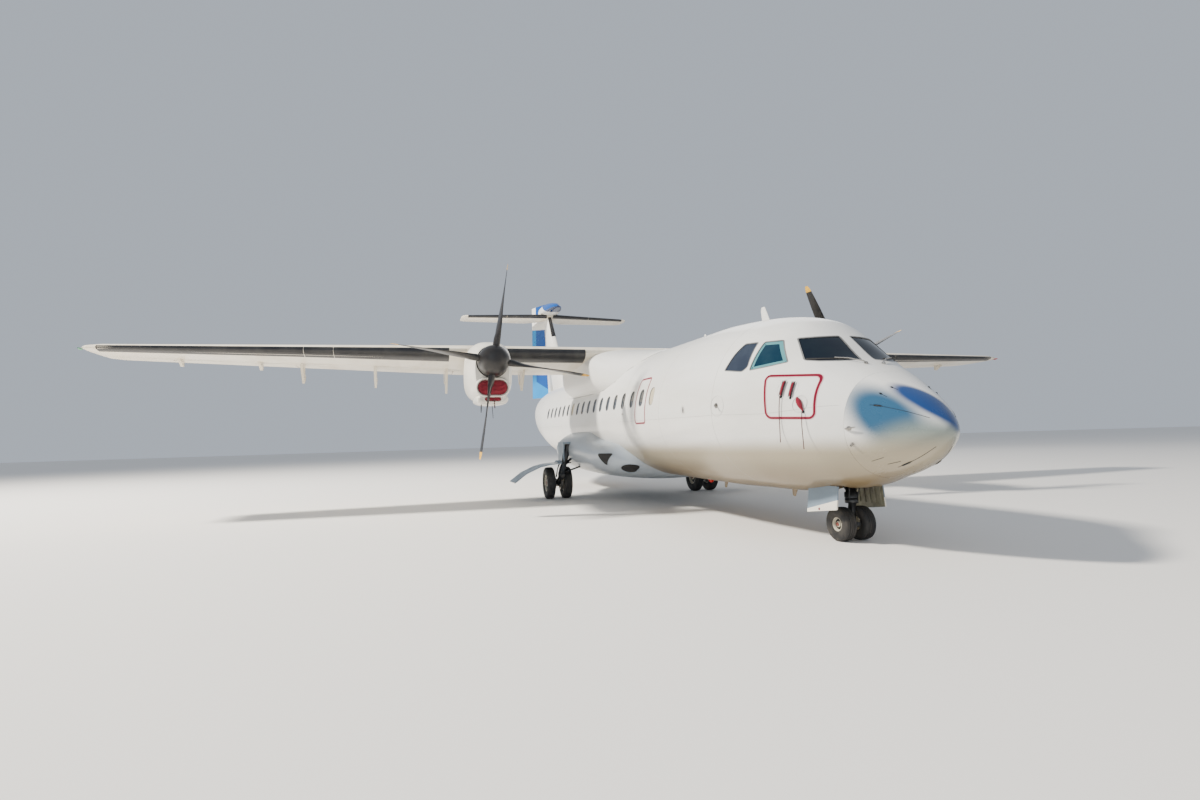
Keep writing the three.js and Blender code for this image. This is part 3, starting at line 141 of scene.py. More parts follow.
def make_soiling():
    """Dust and rain marks that run down and aft, from 0 clean to 1 soiled."""
    tree, given, out = new_group("soiling", [("Scale", 1.0), ("Stretch", 0.15)], ["Mask"])
    place = add_node(tree, "ShaderNodeTexCoord")
    scale = add_node(tree, "ShaderNodeCombineXYZ")
    tree.links.new(given.outputs["Stretch"], scale.inputs["X"])
    set_inputs(scale, {"Y": 1.0, "Z": SOIL_FALL})
    run = add_node(tree, "ShaderNodeMapping")
    tree.links.new(place.outputs["Object"], run.inputs["Vector"])
    tree.links.new(scale.outputs[0], run.inputs["Scale"])
    noise = add_node(tree, "ShaderNodeTexNoise")
    set_inputs(noise, SOIL_NOISE)
    tree.links.new(run.outputs[0], noise.inputs["Vector"])
    tree.links.new(given.outputs["Scale"], noise.inputs["Scale"])
    ramp = add_node(tree, "ShaderNodeMapRange")
    set_inputs(ramp, SOIL_RANGE)
    tree.links.new(noise.outputs["Fac"], ramp.inputs["Value"])
    tree.links.new(ramp.outputs["Result"], out.inputs["Mask"])
    return tree


def make_surface_grain():
    """Fine height of a surface, as orange peel on paint or pores in rubber."""
    tree, given, out = new_group("surface_grain", [("Scale", 200.0)], ["Height"])
    place = add_node(tree, "ShaderNodeTexCoord")
    noise = add_node(tree, "ShaderNodeTexNoise")
    noise.inputs["Detail"].default_value = GRAIN_DETAIL
    tree.links.new(place.outputs["Object"], noise.inputs["Vector"])
    tree.links.new(given.outputs["Scale"], noise.inputs["Scale"])
    tree.links.new(noise.outputs["Fac"], out.inputs["Height"])
    return tree


SOILING = make_soiling()
SURFACE_GRAIN = make_surface_grain()


def blend_colors(tree, factor, first, second):
    """A colour that goes from the first to the second by a factor. Each is a socket or a colour."""
    mix = add_node(tree, "ShaderNodeMix", data_type="RGBA")
    for label, value in (("Factor", factor), ("A", first), ("B", second)):
        socket = mix.inputs[label]
        if isinstance(value, bpy.types.NodeSocket):
            tree.links.new(value, socket)
        elif isinstance(value, tuple):
            socket.default_value = (*value, 1.0)
        else:
            socket.default_value = value
    return mix.outputs["Result"]


def finish(name, color, soiled, rough, metal=0.0, coat=0.0, soil=(1.0, 0.15), grain=(200.0, 0.05),
           sheen=0.0, layers=None):
    """A finish with its clean and soiled colours, a gloss that the soiling dulls, and a fine grain."""
    material = bpy.data.materials.new(name)
    material.use_nodes = True
    tree = material.node_tree
    shader = tree.nodes["Principled BSDF"]
    set_inputs(shader, {"Metallic": metal, "Coat Weight": coat, "Coat Roughness": COAT_ROUGHNESS,
                        "Sheen Weight": sheen})
    soiling = add_node(tree, "ShaderNodeGroup", node_tree=SOILING)
    set_inputs(soiling, {"Scale": soil[0], "Stretch": soil[1]})
    result = blend_colors(tree, soiling.outputs["Mask"], color, soiled)
    if layers:
        result = layers(tree, result)
    tree.links.new(result, shader.inputs["Base Color"])
    dull = add_node(tree, "ShaderNodeMapRange")
    set_inputs(dull, {"To Min": rough, "To Max": min(1.0, rough + DULLING)})
    tree.links.new(soiling.outputs["Mask"], dull.inputs["Value"])
    tree.links.new(dull.outputs["Result"], shader.inputs["Roughness"])
    fine = add_node(tree, "ShaderNodeGroup", node_tree=SURFACE_GRAIN)
    fine.inputs["Scale"].default_value = grain[0]
    bump = add_node(tree, "ShaderNodeBump")
    set_inputs(bump, {"Strength": grain[1], "Distance": GRAIN_HEIGHT})
    tree.links.new(fine.outputs["Height"], bump.inputs["Height"])
    tree.links.new(bump.outputs["Normal"], shader.inputs["Normal"])
    return material


def soft_step(tree, source, low, high):
    """From 0 at low to 1 at high of a value, with soft ends."""
    ramp = add_node(tree, "ShaderNodeMapRange", interpolation_type="SMOOTHSTEP")
    set_inputs(ramp, {"From Min": low, "From Max": high})
    tree.links.new(source, ramp.inputs["Value"])
    return ramp.outputs["Result"]


# Road dust low on the body, together with a painted warm reflection of the ground and painted shade, darker
# towards the bottom: the height where each layer starts, where it is full, and its colour
BELLY_DUST_AND_SHADE = ((1.44, 1.17, (0.38, 0.325, 0.225)), (1.14, 0.74, (0.20, 0.145, 0.075)))


def belly_dust_and_shade(tree, color):
    """Road dust low on the body, with a painted warm reflection of the ground and painted shade that darken
    it towards the bottom.
    """
    place = add_node(tree, "ShaderNodeTexCoord")
    axes = add_node(tree, "ShaderNodeSeparateXYZ")
    tree.links.new(place.outputs["Object"], axes.inputs[0])
    for start, full, tint in BELLY_DUST_AND_SHADE:
        color = blend_colors(tree, soft_step(tree, axes.outputs["Z"], start, full), color, tint)
    return color


# Low on the body the white paint is darkened by road dust, a painted reflection of the ground and painted
# shade.
WHITE = finish("white_paint_with_painted_belly_shade", (0.80, 0.79, 0.76), (0.70, 0.68, 0.63), 0.28, coat=0.35,
               soil=(1.6, 0.12), grain=(900.0, 0.02), layers=belly_dust_and_shade)
CREAM = finish("cream_paint", (0.78, 0.72, 0.60), (0.64, 0.56, 0.43), 0.38, coat=0.15, soil=(2.2, 0.3))
GREY = finish("grey_paint", (0.33, 0.38, 0.43), (0.27, 0.31, 0.35), 0.35, coat=0.2, soil=(2.0, 0.2))
BOOT = finish("boot_rubber", (0.010, 0.010, 0.012), (0.035, 0.034, 0.034), 0.42, soil=(3.0, 0.4),
              grain=(300.0, 0.08))
BLADE_BLACK = finish("blade_paint", (0.011, 0.010, 0.010), (0.024, 0.021, 0.019), 0.34, soil=(6.0, 0.6),
                     grain=(400.0, 0.05))
YELLOW = finish("tip_yellow", (0.85, 0.47, 0.03), (0.55, 0.30, 0.04), 0.4, soil=(9.0, 1.0))
CYAN = finish("cyan_paint", (0.0, 0.24, 0.60), (0.0, 0.20, 0.52), 0.27, coat=0.3, soil=(1.5, 0.3))
BLUE = finish("blue_paint", (0.0, 0.065, 0.30), (0.0, 0.055, 0.25), 0.27, coat=0.3, soil=(1.5, 0.3))
NAVY = finish("navy_paint", (0.001, 0.018, 0.09), (0.001, 0.016, 0.07), 0.25, coat=0.3, soil=(1.5, 0.3))
RED_PAINT = finish("red_line_paint", (0.17, 0.0, 0.018), (0.14, 0.001, 0.015), 0.4, soil=(8.0, 1.0))
PINK = finish("pale_red_line_paint", (0.72, 0.42, 0.42), (0.66, 0.38, 0.38), 0.4, soil=(8.0, 1.0))
RED_CLOTH = finish("red_cover_cloth", (0.21, 0.0, 0.014), (0.12, 0.001, 0.010), 0.75, soil=(9.0, 1.0),
                   grain=(1400.0, 0.4), sheen=0.3)
SEAM_GREY = finish("seam_sealant", (0.20, 0.20, 0.20), (0.12, 0.12, 0.12), 0.6, soil=(5.0, 1.0))
# Near-black: painted shade in the wheel dishes, the gap behind the spinner and the fairing's openings, and
# the dark of the door seals.
DARK = finish("painted_recess_shade_and_seal_black", (0.008, 0.008, 0.009), (0.018, 0.016, 0.015), 0.7, soil=(5.0, 1.0))
BAY = finish("bay_primer", (0.22, 0.22, 0.16), (0.09, 0.08, 0.06), 0.6, soil=(5.0, 1.0))
STEEL = finish("gear_steel", (0.055, 0.058, 0.062), (0.02, 0.019, 0.018), 0.38, metal=0.7, soil=(9.0, 1.0))
CHROME = finish("piston_chrome", (0.75, 0.76, 0.78), (0.55, 0.54, 0.52), 0.12, metal=1.0, soil=(9.0, 1.0))
BARE_METAL = finish("bare_metal", (0.48, 0.46, 0.43), (0.30, 0.28, 0.25), 0.34, metal=0.9, soil=(9.0, 1.0))
EXHAUST_METAL = finish("exhaust_metal", (0.16, 0.13, 0.11), (0.07, 0.055, 0.045), 0.5, metal=0.85,
                       soil=(7.0, 1.0))
RIM = finish("wheel_enamel", (0.66, 0.62, 0.50), (0.36, 0.31, 0.23), 0.38, soil=(14.0, 1.0))
HUB_RED = finish("hub_cap_paint", (0.20, 0.05, 0.035), (0.10, 0.035, 0.025), 0.45, soil=(14.0, 1.0))
TYRE = finish("tyre_rubber", (0.022, 0.022, 0.023), (0.07, 0.063, 0.055), 0.72, soil=(7.0, 1.0),
              grain=(500.0, 0.2))
PANE_GREY = finish("cabin_pane", (0.045, 0.052, 0.06), (0.07, 0.075, 0.08), 0.08, coat=0.6, soil=(6.0, 1.0),
                   grain=(50.0, 0.0))
BLIND = finish("window_blind", (0.52, 0.46, 0.34), (0.45, 0.39, 0.28), 0.5, soil=(3.0, 1.0))
CREAM_WHITE = finish("nacelle_paint", (0.80, 0.77, 0.69), (0.66, 0.62, 0.52), 0.3, coat=0.3, soil=(2.0, 0.25))
# The gear fairing's blue-grey is painted shade and a painted reflection of the sky.
FAIRING_SHADE_AND_SKY = finish("fairing_painted_shade_and_sky_reflection", (0.40, 0.455, 0.515), (0.33, 0.365, 0.405), 0.3, coat=0.3,
                       soil=(1.8, 0.15))
DOOR_BLUE = finish("gear_door_paint", (0.19, 0.25, 0.31), (0.14, 0.18, 0.22), 0.35, coat=0.2, soil=(3.0, 0.3))
SEAM_PALE = finish("seam_paint_line", (0.46, 0.45, 0.42), (0.36, 0.34, 0.31), 0.45, soil=(5.0, 1.0))
RED_COVER_BRIGHT = finish("red_vane_cover", (0.22, 0.0, 0.018), (0.15, 0.001, 0.012), 0.6, soil=(12.0, 1.0),
                          grain=(1600.0, 0.3), sheen=0.2)
DARK_RED = finish("dark_red_line", (0.07, 0.006, 0.01), (0.05, 0.006, 0.01), 0.45, soil=(9.0, 1.0))

# Painted reflections of sky and ground, and painted shade, on the radome as soft ovals: middle, points along
# and across, half sizes in metres, colour, edges
SIDE_REFLECTIONS = (
    ((575, 430, 1760), (850, 560, 2010), (640, 290, 2030),
     (0.66, 0.34, 0.42), (0.022, 0.088, 0.170), (1.18, 0.50)),
    ((330, 230, 1470), (600, 330, 1440), (200, 160, 1640),
     (0.68, 0.29, 0.36), (0.20, 0.24, 0.215), (1.25, 0.4)),
)
TOP_REFLECTION = (
    (330, -50, 1900), (620, -200, 2100), (290, 110, 1880),
    (0.52, 0.18, 0.25), (0.004, 0.040, 0.165), (1.12, 0.68),
)


def reflection_oval(side, centre, along, across, *look):
    """The middle of a painted reflection's soft oval and its turn, followed by its look."""
    middle, along, across = (air(station, side * y, z) for station, y, z in (centre, along, across))
    long_way = (along - middle).normalized()
    out = long_way.cross(across - middle).normalized()
    turn = Matrix((long_way, out.cross(long_way), out)).transposed()
    return middle, turn.to_euler(), *look


def painted_nose_reflections(tree, color):
    """Painted reflections of sky and ground, and painted shade, on the radome as soft areas of colour: two on
    each side and one on top.
    """
    place = add_node(tree, "ShaderNodeTexCoord")
    areas = [reflection_oval(side, *area) for side in (-1, 1) for area in SIDE_REFLECTIONS]
    for centre, turn, size, tint, edge in [*areas, reflection_oval(1, *TOP_REFLECTION)]:
        where = add_node(tree, "ShaderNodeMapping", vector_type="TEXTURE")
        set_inputs(where, {"Location": centre, "Rotation": turn, "Scale": size})
        tree.links.new(place.outputs["Object"], where.inputs["Vector"])
        reach = add_node(tree, "ShaderNodeVectorMath", operation="LENGTH")
        tree.links.new(where.outputs[0], reach.inputs[0])
        color = blend_colors(tree, soft_step(tree, reach.outputs["Value"], *edge), color, tint)
    return belly_dust_and_shade(tree, color)


# The radome's paint carries painted reflections of sky and ground, painted shade and the belly dust.
RADOME = finish("radome_paint_with_painted_reflections", (0.80, 0.79, 0.76), (0.74, 0.72, 0.68), 0.24, coat=0.4, soil=(1.6, 0.12),
                grain=(900.0, 0.02), layers=painted_nose_reflections)
GLASS_SURFACE = {"Roughness": 0.07, "Specular IOR Level": 0.28}
GLASS_SOILING = {"Scale": 4.0, "Stretch": 1.0}


def glass(name, inner, edge):
    material = bpy.data.materials.new(name)
    material.use_nodes = True
    tree = material.node_tree
    shader = tree.nodes["Principled BSDF"]
    set_inputs(shader, GLASS_SURFACE)
    soiling = add_node(tree, "ShaderNodeGroup", node_tree=SOILING)
    set_inputs(soiling, GLASS_SOILING)
    tree.links.new(blend_colors(tree, soiling.outputs["Mask"], inner, edge), shader.inputs["Base Color"])
    return material


WINDSCREEN_GLASS = glass("windscreen_glass", (0.003, 0.007, 0.014), (0.006, 0.012, 0.018))
SIDE_GLASS = glass("side_window_glass", (0.004, 0.022, 0.042), (0.008, 0.032, 0.05))
AFT_GLASS = glass("aft_window_glass", (0.022, 0.030, 0.048), (0.03, 0.04, 0.06))
SIDE_GLASS_EDGE = glass("side_window_edge", (0.10, 0.27, 0.29), (0.08, 0.22, 0.25))
BEACON_RED = glass("beacon_lens", (0.45, 0.01, 0.008), (0.35, 0.02, 0.015))
TIP_GREEN = glass("green_lens", (0.01, 0.30, 0.12), (0.02, 0.25, 0.10))
GLASS_CLEAR = glass("clear_lens", (0.55, 0.56, 0.56), (0.45, 0.45, 0.44))


# Making pieces
WELD = 2e-5


def link(name, mesh):
    piece = bpy.data.objects.new(name, mesh)
    bpy.context.scene.collection.objects.link(piece)
    return piece


def shade(mesh, angle):
    mesh.shade_smooth()
    mesh.set_sharp_from_angle(angle=radians(angle))


def settle(name, bm, material, body="airframe", stands_for=(), angle=32):
    """Turns a mesh in work into a finished piece that rides on a body."""
    mesh = bpy.data.meshes.new(name)
    bm.to_mesh(mesh)
    bm.free()
    piece = link(name, mesh)
    shade(mesh, angle)
    for each in material if isinstance(material, (list, tuple)) else [material]:
        mesh.materials.append(each)
    if stands_for:
        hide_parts(*stands_for)
    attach(piece, body)
    return piece


def body_of_node(node):
    return frame["nodes"][node]["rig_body"]


def node_copy(node):
    """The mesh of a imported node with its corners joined, to be worked on."""
    bm = bmesh.new()
    bm.from_mesh(frame["nodes"][node].data)
    bmesh.ops.remove_doubles(bm, verts=bm.verts, dist=WELD)
    return bm


def dressed(node, material, angle=30):
    bm = node_copy(node)
    return settle(f"{node}_skin", bm, material, body_of_node(node), (node,), angle)


def rings_to_skin(rings, closed=True):
    """A bmesh skin over a row of rings with equal point counts."""
    bm = bmesh.new()
    loops = []
    for ring in rings:
        verts = [bm.verts.new(point) for point in ring]
        loops.append([bm.edges.new(pair) for pair in zip(verts, verts[1:] + verts[:1])])
    for near, far in zip(loops, loops[1:]):
        bmesh.ops.bridge_loops(bm, edges=near + far)
    if closed:
        for loop in (loops[0], loops[-1]):
            bmesh.ops.edgeloop_fill(bm, edges=loop)
    bmesh.ops.recalc_face_normals(bm, faces=bm.faces)
    return bm


def mirrored_to(bm, side):
    """Leaves a port side mesh, or turns it into the one of the starboard side."""
    if side < 0:
        bmesh.ops.scale(bm, vec=(1, -1, 1), verts=bm.verts)
        bmesh.ops.reverse_faces(bm, faces=bm.faces)
    return bm


def tube(points, radius, sides=10):
    """A round tube along a row of points, with one radius in millimetres or one for each point."""
    points = [Vector(point) for point in points]
    rings = []
    for i, point in enumerate(points):
        way = (points[min(i + 1, len(points) - 1)] - points[max(i - 1, 0)]).normalized()
        turn = way.to_track_quat("Z", "Y")
        thick = (radius[i] if isinstance(radius, (list, tuple)) else radius) * MM
        ring = []
        for k in range(sides):
            spoke = Vector((thick * cos(tau * k / sides), thick * sin(tau * k / sides), 0))
            ring.append(point + turn @ spoke)
        rings.append(ring)
    return rings_to_skin(rings)


def merge(*parts):
    """One mesh in work made of several."""
    whole = bmesh.new()
    for part in parts:
        mesh = bpy.data.meshes.new("part")
        part.to_mesh(mesh)
        part.free()
        whole.from_mesh(mesh)
        bpy.data.meshes.remove(mesh)
    return whole


def split(bm, point, normal, **options):
    """Cuts the faces of a mesh in work along a plane."""
    geom = bm.verts[:] + bm.edges[:] + bm.faces[:]
    bmesh.ops.bisect_plane(bm, geom=geom, plane_co=point, plane_no=normal, **options)


def carve(bm, cutters):
    """Cuts a mesh in work with others, which don't overlap."""
    meshes = []
    for name, work in (("solid", bm), ("cutter", merge(*cutters))):
        mesh = bpy.data.meshes.new(name)
        work.to_mesh(mesh)
        work.free()
        meshes.append(link(name, mesh))
    solid, cutter = meshes
    boolean = solid.modifiers.new("cut", "BOOLEAN")
    boolean.operation = "DIFFERENCE"
    boolean.solver = "EXACT"
    boolean.object = cutter
    bpy.context.view_layer.update()
    result = bmesh.new()
    result.from_object(solid, bpy.context.evaluated_depsgraph_get())
    for each in meshes:
        mesh = each.data
        bpy.data.objects.remove(each)
        bpy.data.meshes.remove(mesh)
    return result


# Fuselage: station, top, bottom, half width, height of the widest line, corner power of the upper part
FUSELAGE = np.array([
    (76, 1630, 1584, 20, 1608, 2.0),
    (86, 1672, 1550, 58, 1610, 2.0),
    (108, 1710, 1518, 98, 1610, 2.0),
    (148, 1764, 1476, 154, 1610, 2.0),
    (224, 1846, 1405, 236, 1608, 2.0),
    (400, 2005, 1265, 382, 1606, 2.1),
    (700, 2195, 1119, 576, 1624, 2.2),
    (1000, 2360, 1020, 744, 1666, 2.3),
    (1330, 2521, 913, 900, 1715, 2.4),
    (1780, 2896, 848, 1036, 1770, 2.15),
    (2200, 3193, 785, 1160, 1845, 2.1),
    (2700, 3322, 755, 1308, 1905, 2.1),
    (3400, 3411, 741, 1406, 1945, 2.0),
    (4400, 3465, 718, 1438, 1960, 2.0),
    (14000, 3465, 718, 1438, 1960, 2.0),
    (15500, 3460, 800, 1430, 2015, 2.0),
    (17000, 3440, 1070, 1340, 2150, 2.0),
    (18500, 3380, 1450, 1130, 2370, 2.0),
    (20000, 3230, 1880, 780, 2570, 2.0),
    (21300, 3070, 2280, 400, 2690, 2.0),
    (22300, 2900, 2600, 120, 2750, 2.0),
])


FLOW_STEP = 5.0


def flowing(table):
    """A table drawn out to close stations by a smooth curve with no overshoot."""
    at = table[:, 0]
    close = np.arange(at[0], at[-1] + FLOW_STEP, FLOW_STEP).clip(max=at[-1])
    k = np.clip(np.searchsorted(at, close, side="right") - 1, 0, len(at) - 2)
    gap = at[k + 1] - at[k]
    t = (close - at[k]) / gap
    columns = [close]
    for column in table.T[1:]:
        slope = np.diff(column) / np.diff(at)
        tangent = np.zeros(len(at))
        tangent[0], tangent[-1] = slope[0], slope[-1]
        before, after = slope[:-1], slope[1:]
        same = before * after > 0
        total = np.where(same, before + after, 1.0)
        tangent[1:-1] = np.where(same, 2 * before * after / total, 0.0)
        ease = t * t * (3 - 2 * t)
        lead = t * (1 - t) ** 2 * tangent[k] * gap
        trail = t * t * (1 - t) * tangent[k + 1] * gap
        columns.append(column[k] * (1 - ease) + column[k + 1] * ease + lead - trail)
    return np.array(columns)


HULL = flowing(FUSELAGE)
HULL_POINTS = 112
# How far apart the rings of the fuselage are, from a station on
HULL_STEPS = ((14000, 160), (4400, 320), (2900, 120), (700, 55), (120, 32), (0, 15))
RADOME_END = 950
TAIL_END = 22300


def hull_section(station):
    return [float(np.interp(station, HULL[0], column)) for column in HULL[1:]]


def bend(value, power):
    return (1 if value > 0 else -1) * abs(value) ** (2 / power)


def hull_ring(station, inset):
    top, bottom, half, mid, power = hull_section(station)
    ring = []
    for i in range(HULL_POINTS):
        angle = (i + 0.5) * tau / HULL_POINTS
        upper = cos(angle) > 0
        corner = power if upper else 2.0
        rise = (top - mid if upper else mid - bottom) - inset
        y = (half - inset) * bend(sin(angle), corner)
        ring.append(air(station, y, mid + rise * bend(cos(angle), corner)))
    return ring


def hull_stations(start, end):
    marks = [start]
    while marks[-1] < end:
        here = marks[-1]
        marks.append(here + next(step for start, step in HULL_STEPS if here >= start))
    return marks[:-1] + [end]


def hull(start, end):
    return rings_to_skin([hull_ring(station, 0.0) for station in hull_stations(start, end)])


def hull_share(station, z):
    """Half width, corner power, and a height as a share of the way from the widest line to the edge."""
    top, bottom, half, mid, power = hull_section(station)
    if z > mid:
        return half, power, (z - mid) / (top - mid)
    return half, 2.0, (mid - z) / (mid - bottom)


def hull_level(station, y, z):
    """Below 1 inside the fuselage, 1 on its skin."""
    half, corner, rise = hull_share(station, z)
    return abs(y / half) ** corner + abs(rise) ** corner


def skin_y(station, z):
    half, corner, rise = hull_share(station, z)
    return half * max(0.0, 1 - abs(rise) ** corner) ** (1 / corner)


def lifted(station, y, z, lift):
    """A skin point moved out along the skin's own normal."""
    step = 2.0
    out = Vector((
        hull_level(station - step, y, z) - hull_level(station + step, y, z),
        hull_level(station, y + step, z) - hull_level(station, y - step, z),
        hull_level(station, y, z + step) - hull_level(station, y, z - step),
    )).normalized()
    return air(station - out.x * lift, y + out.y * lift, z + out.z * lift)


def on_side(side):
    """Skin points by station and height."""
    return lambda station, z, lift: lifted(station, side * skin_y(station, z), z, lift)


# The stations between which the front of the cockpit is looked for, and how often they are halved
FRONT = (900.0, 2600.0)
HALVINGS = 18


def on_front(side):
    """Skin points by distance from the middle and height, on the front of the cockpit."""
    def spot(y, z, lift):
        low, high = FRONT
        for _ in range(HALVINGS):
            middle = (low + high) / 2
            if hull_level(middle, y, z) > 1:
                low = middle
            else:
                high = middle
        return lifted(low, side * y, z, lift)

    return spot


def laid_panel(outline, spot, outer, inner, corner=0.0, rim=0.0, step=70.0, segments=5):
    """A panel that follows a skin between two lifts from it, with rounded corners, or only its rim."""
    bm = bmesh.new()
    face = bm.faces.new([bm.verts.new((a, b, 0)) for a, b in outline])
    if face.normal.z < 0:
        bmesh.ops.reverse_faces(bm, faces=[face])
    if corner:
        bmesh.ops.bevel(bm, geom=bm.verts[:], offset=corner, offset_type="OFFSET", affect="VERTICES",
                        segments=segments, profile=0.5, material=-1)
    if rim:
        faces = bm.faces[:]
        bmesh.ops.inset_region(bm, faces=faces, thickness=rim, use_even_offset=True, use_boundary=True)
        bmesh.ops.delete(bm, geom=faces, context="FACES")
    for axis in (0, 1):
        places = [vert.co[axis] for vert in bm.verts]
        count = int((max(places) - min(places)) / step)
        for k in range(1, count + 1):
            level = min(places) + (max(places) - min(places)) * k / (count + 1)
            normal = (1, 0, 0) if axis == 0 else (0, 1, 0)
            split(bm, Vector(normal) * level, normal)
    made = bmesh.ops.extrude_face_region(bm, geom=bm.faces[:], use_keep_orig=True)
    raised = {item for item in made["geom"] if isinstance(item, bmesh.types.BMVert)}
    for vert in bm.verts:
        vert.co = spot(vert.co.x, vert.co.y, outer if vert in raised else inner)
    bmesh.ops.recalc_face_normals(bm, faces=bm.faces)
    if bm.calc_volume(signed=True) < 0:
        bmesh.ops.reverse_faces(bm, faces=bm.faces)
    return bm


def rectangle(a0, b0, a1, b1):
    return [(a0, b0), (a1, b0), (a1, b1), (a0, b1)]


# Doors: side, station of the middle, sill, head, width
DOORS = {
    "passenger_door": (1, 16050, 1270, 3010, 750),
    "cargo_door": (1, 4250, 1100, 2630, 1275),
    "service_door": (-1, 16700, 1560, 2780, 610),
}
DOOR_CORNER = 130
DOOR_THICK = 95
DOOR_GAP = 8
SIDE_PANES = {
    "side_window": [(2386, 2897), (2108, 2884), (1850, 2543), (2079, 2510), (2398, 2481)],
    "aft_side_window": [(2727, 2916), (2475, 2905), (2433, 2541), (2507, 2476), (2896, 2528), (2813, 2772)],
}
WINDSCREEN = [(90, 2522), (72, 2904), (598, 2893), (720, 2545), (592, 2516), (395, 2508)]
CABIN_WINDOW = {
    "first": 5410,
    "pitch": 547,
    "count": 18,
    "middle": 2320,
    "half": 110,
    "rise": 168,
    "corner": 100,
}
# The bay of the nose gear: stations from and to, half width, height of its roof, height of its cutter
NOSE_BAY = (1590, 2290, 306, 1250, 900)


def grown(outline, by):
    """An outline with its corners moved away from its middle."""
    middle = Vector((sum(a for a, _ in outline), sum(b for _, b in outline))) / len(outline)
    out = []
    for corner in outline:
        arm = Vector(corner) - middle
        out.append(tuple(middle + arm * (1 + by / arm.length)))
    return out


def door_outline(door, grow=0.0):
    _, station, low, high, width = DOORS[door]
    return rectangle(station - width / 2 - grow, low - grow, station + width / 2 + grow, high + grow)


def cabin_window_outlines(grow=0.0):
    window = CABIN_WINDOW
    for k in range(window["count"]):
        station = window["first"] + k * window["pitch"]
        half, rise = window["half"] + grow, window["rise"] + grow
        middle = window["middle"]
        yield rectangle(station - half, middle - rise, station + half, middle + rise)


WINDOW_BLINDS = {"left": (3, 9), "right": (0, 11)}
# How far the cutters of openings reach out of the skin and into it
DOOR_CUT = (60, -DOOR_THICK - DOOR_GAP)
WINDOW_CUT = (25, -26)
PANE_CUT = (40, -34)
PANE_CORNER = 28
PANE_SINK = 9
PANE_GAP = 4
PANE_SEAL = 13
PANE_TINT = 42
WINDOW_SEAL = 9
PANES = {"windscreen": WINDSCREEN, **SIDE_PANES}


def pane_spot(pane, side):
    return on_front(side) if pane == "windscreen" else on_side(side)


def make_fuselage():
    cutters = []
    for door, (side, *_) in DOORS.items():
        recess = laid_panel(door_outline(door, DOOR_GAP), on_side(side), *DOOR_CUT,
                            corner=DOOR_CORNER + DOOR_GAP, step=90)
        cutters.append(recess)
    for side in SIDES.values():
        for outline in cabin_window_outlines():
            opening = laid_panel(outline, on_side(side), *WINDOW_CUT, corner=CABIN_WINDOW["corner"], step=60,
                                 segments=6)
            cutters.append(opening)
        for pane, outline in PANES.items():
            opening = laid_panel(outline, pane_spot(pane, side), *PANE_CUT, corner=PANE_CORNER, step=60,
                                 segments=4)
            cutters.append(opening)
    fore, aft, half, roof, tall = NOSE_BAY
    bay = bmesh.new()
    bmesh.ops.create_cube(bay, size=1.0)
    bmesh.ops.scale(bay, vec=((aft - fore) * MM, 2 * half * MM, tall * MM), verts=bay.verts)
    middle = Matrix.Translation((-(aft + fore) / 2 * MM, 0, (roof - tall / 2) * MM))
    bmesh.ops.transform(bay, matrix=middle, verts=bay.verts)
    bmesh.ops.transform(bay, matrix=STANCE, verts=bay.verts)
    cutters.append(bay)
    body = carve(hull(RADOME_END + 3, TAIL_END), cutters)
    settle("fuselage_skin", body, WHITE, stands_for=("fuselage",), angle=28)
    settle("radome_skin", hull(FUSELAGE[0][0], RADOME_END), RADOME,
           stands_for=("radome",), angle=50)


def make_cockpit_panes():
    glasses = {"windscreen": WINDSCREEN_GLASS, "side_window": SIDE_GLASS, "aft_side_window": AFT_GLASS}
    for name, side in SIDES.items():
        for pane, outline in PANES.items():
            spot = pane_spot(pane, side)
            sheet = laid_panel(grown(outline, -PANE_GAP), spot, -PANE_SINK, -32, corner=PANE_CORNER - 2,
                               step=60, segments=4)
            settle(f"{pane}_{name}_glass", sheet, glasses[pane],
                   stands_for=(f"{pane}_{name}",))
            seal = laid_panel(outline, spot, 1.5, -30, corner=PANE_CORNER, rim=PANE_SEAL, step=60, segments=4)
            settle(f"{pane}_{name}_seal", seal, SEAM_GREY)
            if pane == "side_window":
                band = laid_panel(grown(outline, -12), spot, -PANE_SINK + 1, -12, corner=PANE_CORNER - 2,
                                  rim=PANE_TINT, step=60, segments=4)
                settle(f"{pane}_{name}_tint", band, SIDE_GLASS_EDGE)


def make_cabin_windows():
    for name, side in SIDES.items():
        panes, seals, blinds = [], [], []
        spot = on_side(side)
        corner = CABIN_WINDOW["corner"]
        for k, outline in enumerate(cabin_window_outlines(-3)):
            row, outer = (blinds, -12) if k in WINDOW_BLINDS[name] else (panes, -15)
            row.append(laid_panel(outline, spot, outer, -25, corner=corner - 3, step=90, segments=6))
        for outline in cabin_window_outlines():
            seal = laid_panel(outline, spot, -1, -24, corner=corner, rim=WINDOW_SEAL, step=90, segments=6)
            seals.append(seal)
        settle(f"cabin_panes_{name}", merge(*panes), PANE_GREY)
        settle(f"window_blinds_{name}", merge(*blinds), BLIND)
        settle(f"cabin_window_seals_{name}", merge(*seals), SEAM_GREY)


def make_doors():
    for door, (side, *_) in DOORS.items():
        leaf = laid_panel(door_outline(door), on_side(side), 0, -DOOR_THICK, corner=DOOR_CORNER, step=70)
        if door != "service_door":
            leaf = merge(leaf, door_arms(door))
        settle(f"{door}_leaf", leaf, WHITE, body_of_node(door), stands_for=(door,), angle=40)


def door_arms(door):
    """The hinge arms of a packed door, outside its leaf."""
    bm = node_copy(door)
    _, station, low, high, _ = DOORS[door]
    keep = (low - 4) if door == "passenger_door" else (high + 4)
    way = 1 if door == "passenger_door" else -1
    split(bm, air(station, 0, keep), (0, 0, way), clear_outer=True)
    bmesh.ops.holes_fill(bm, edges=bm.edges, sides=0)
    return bm


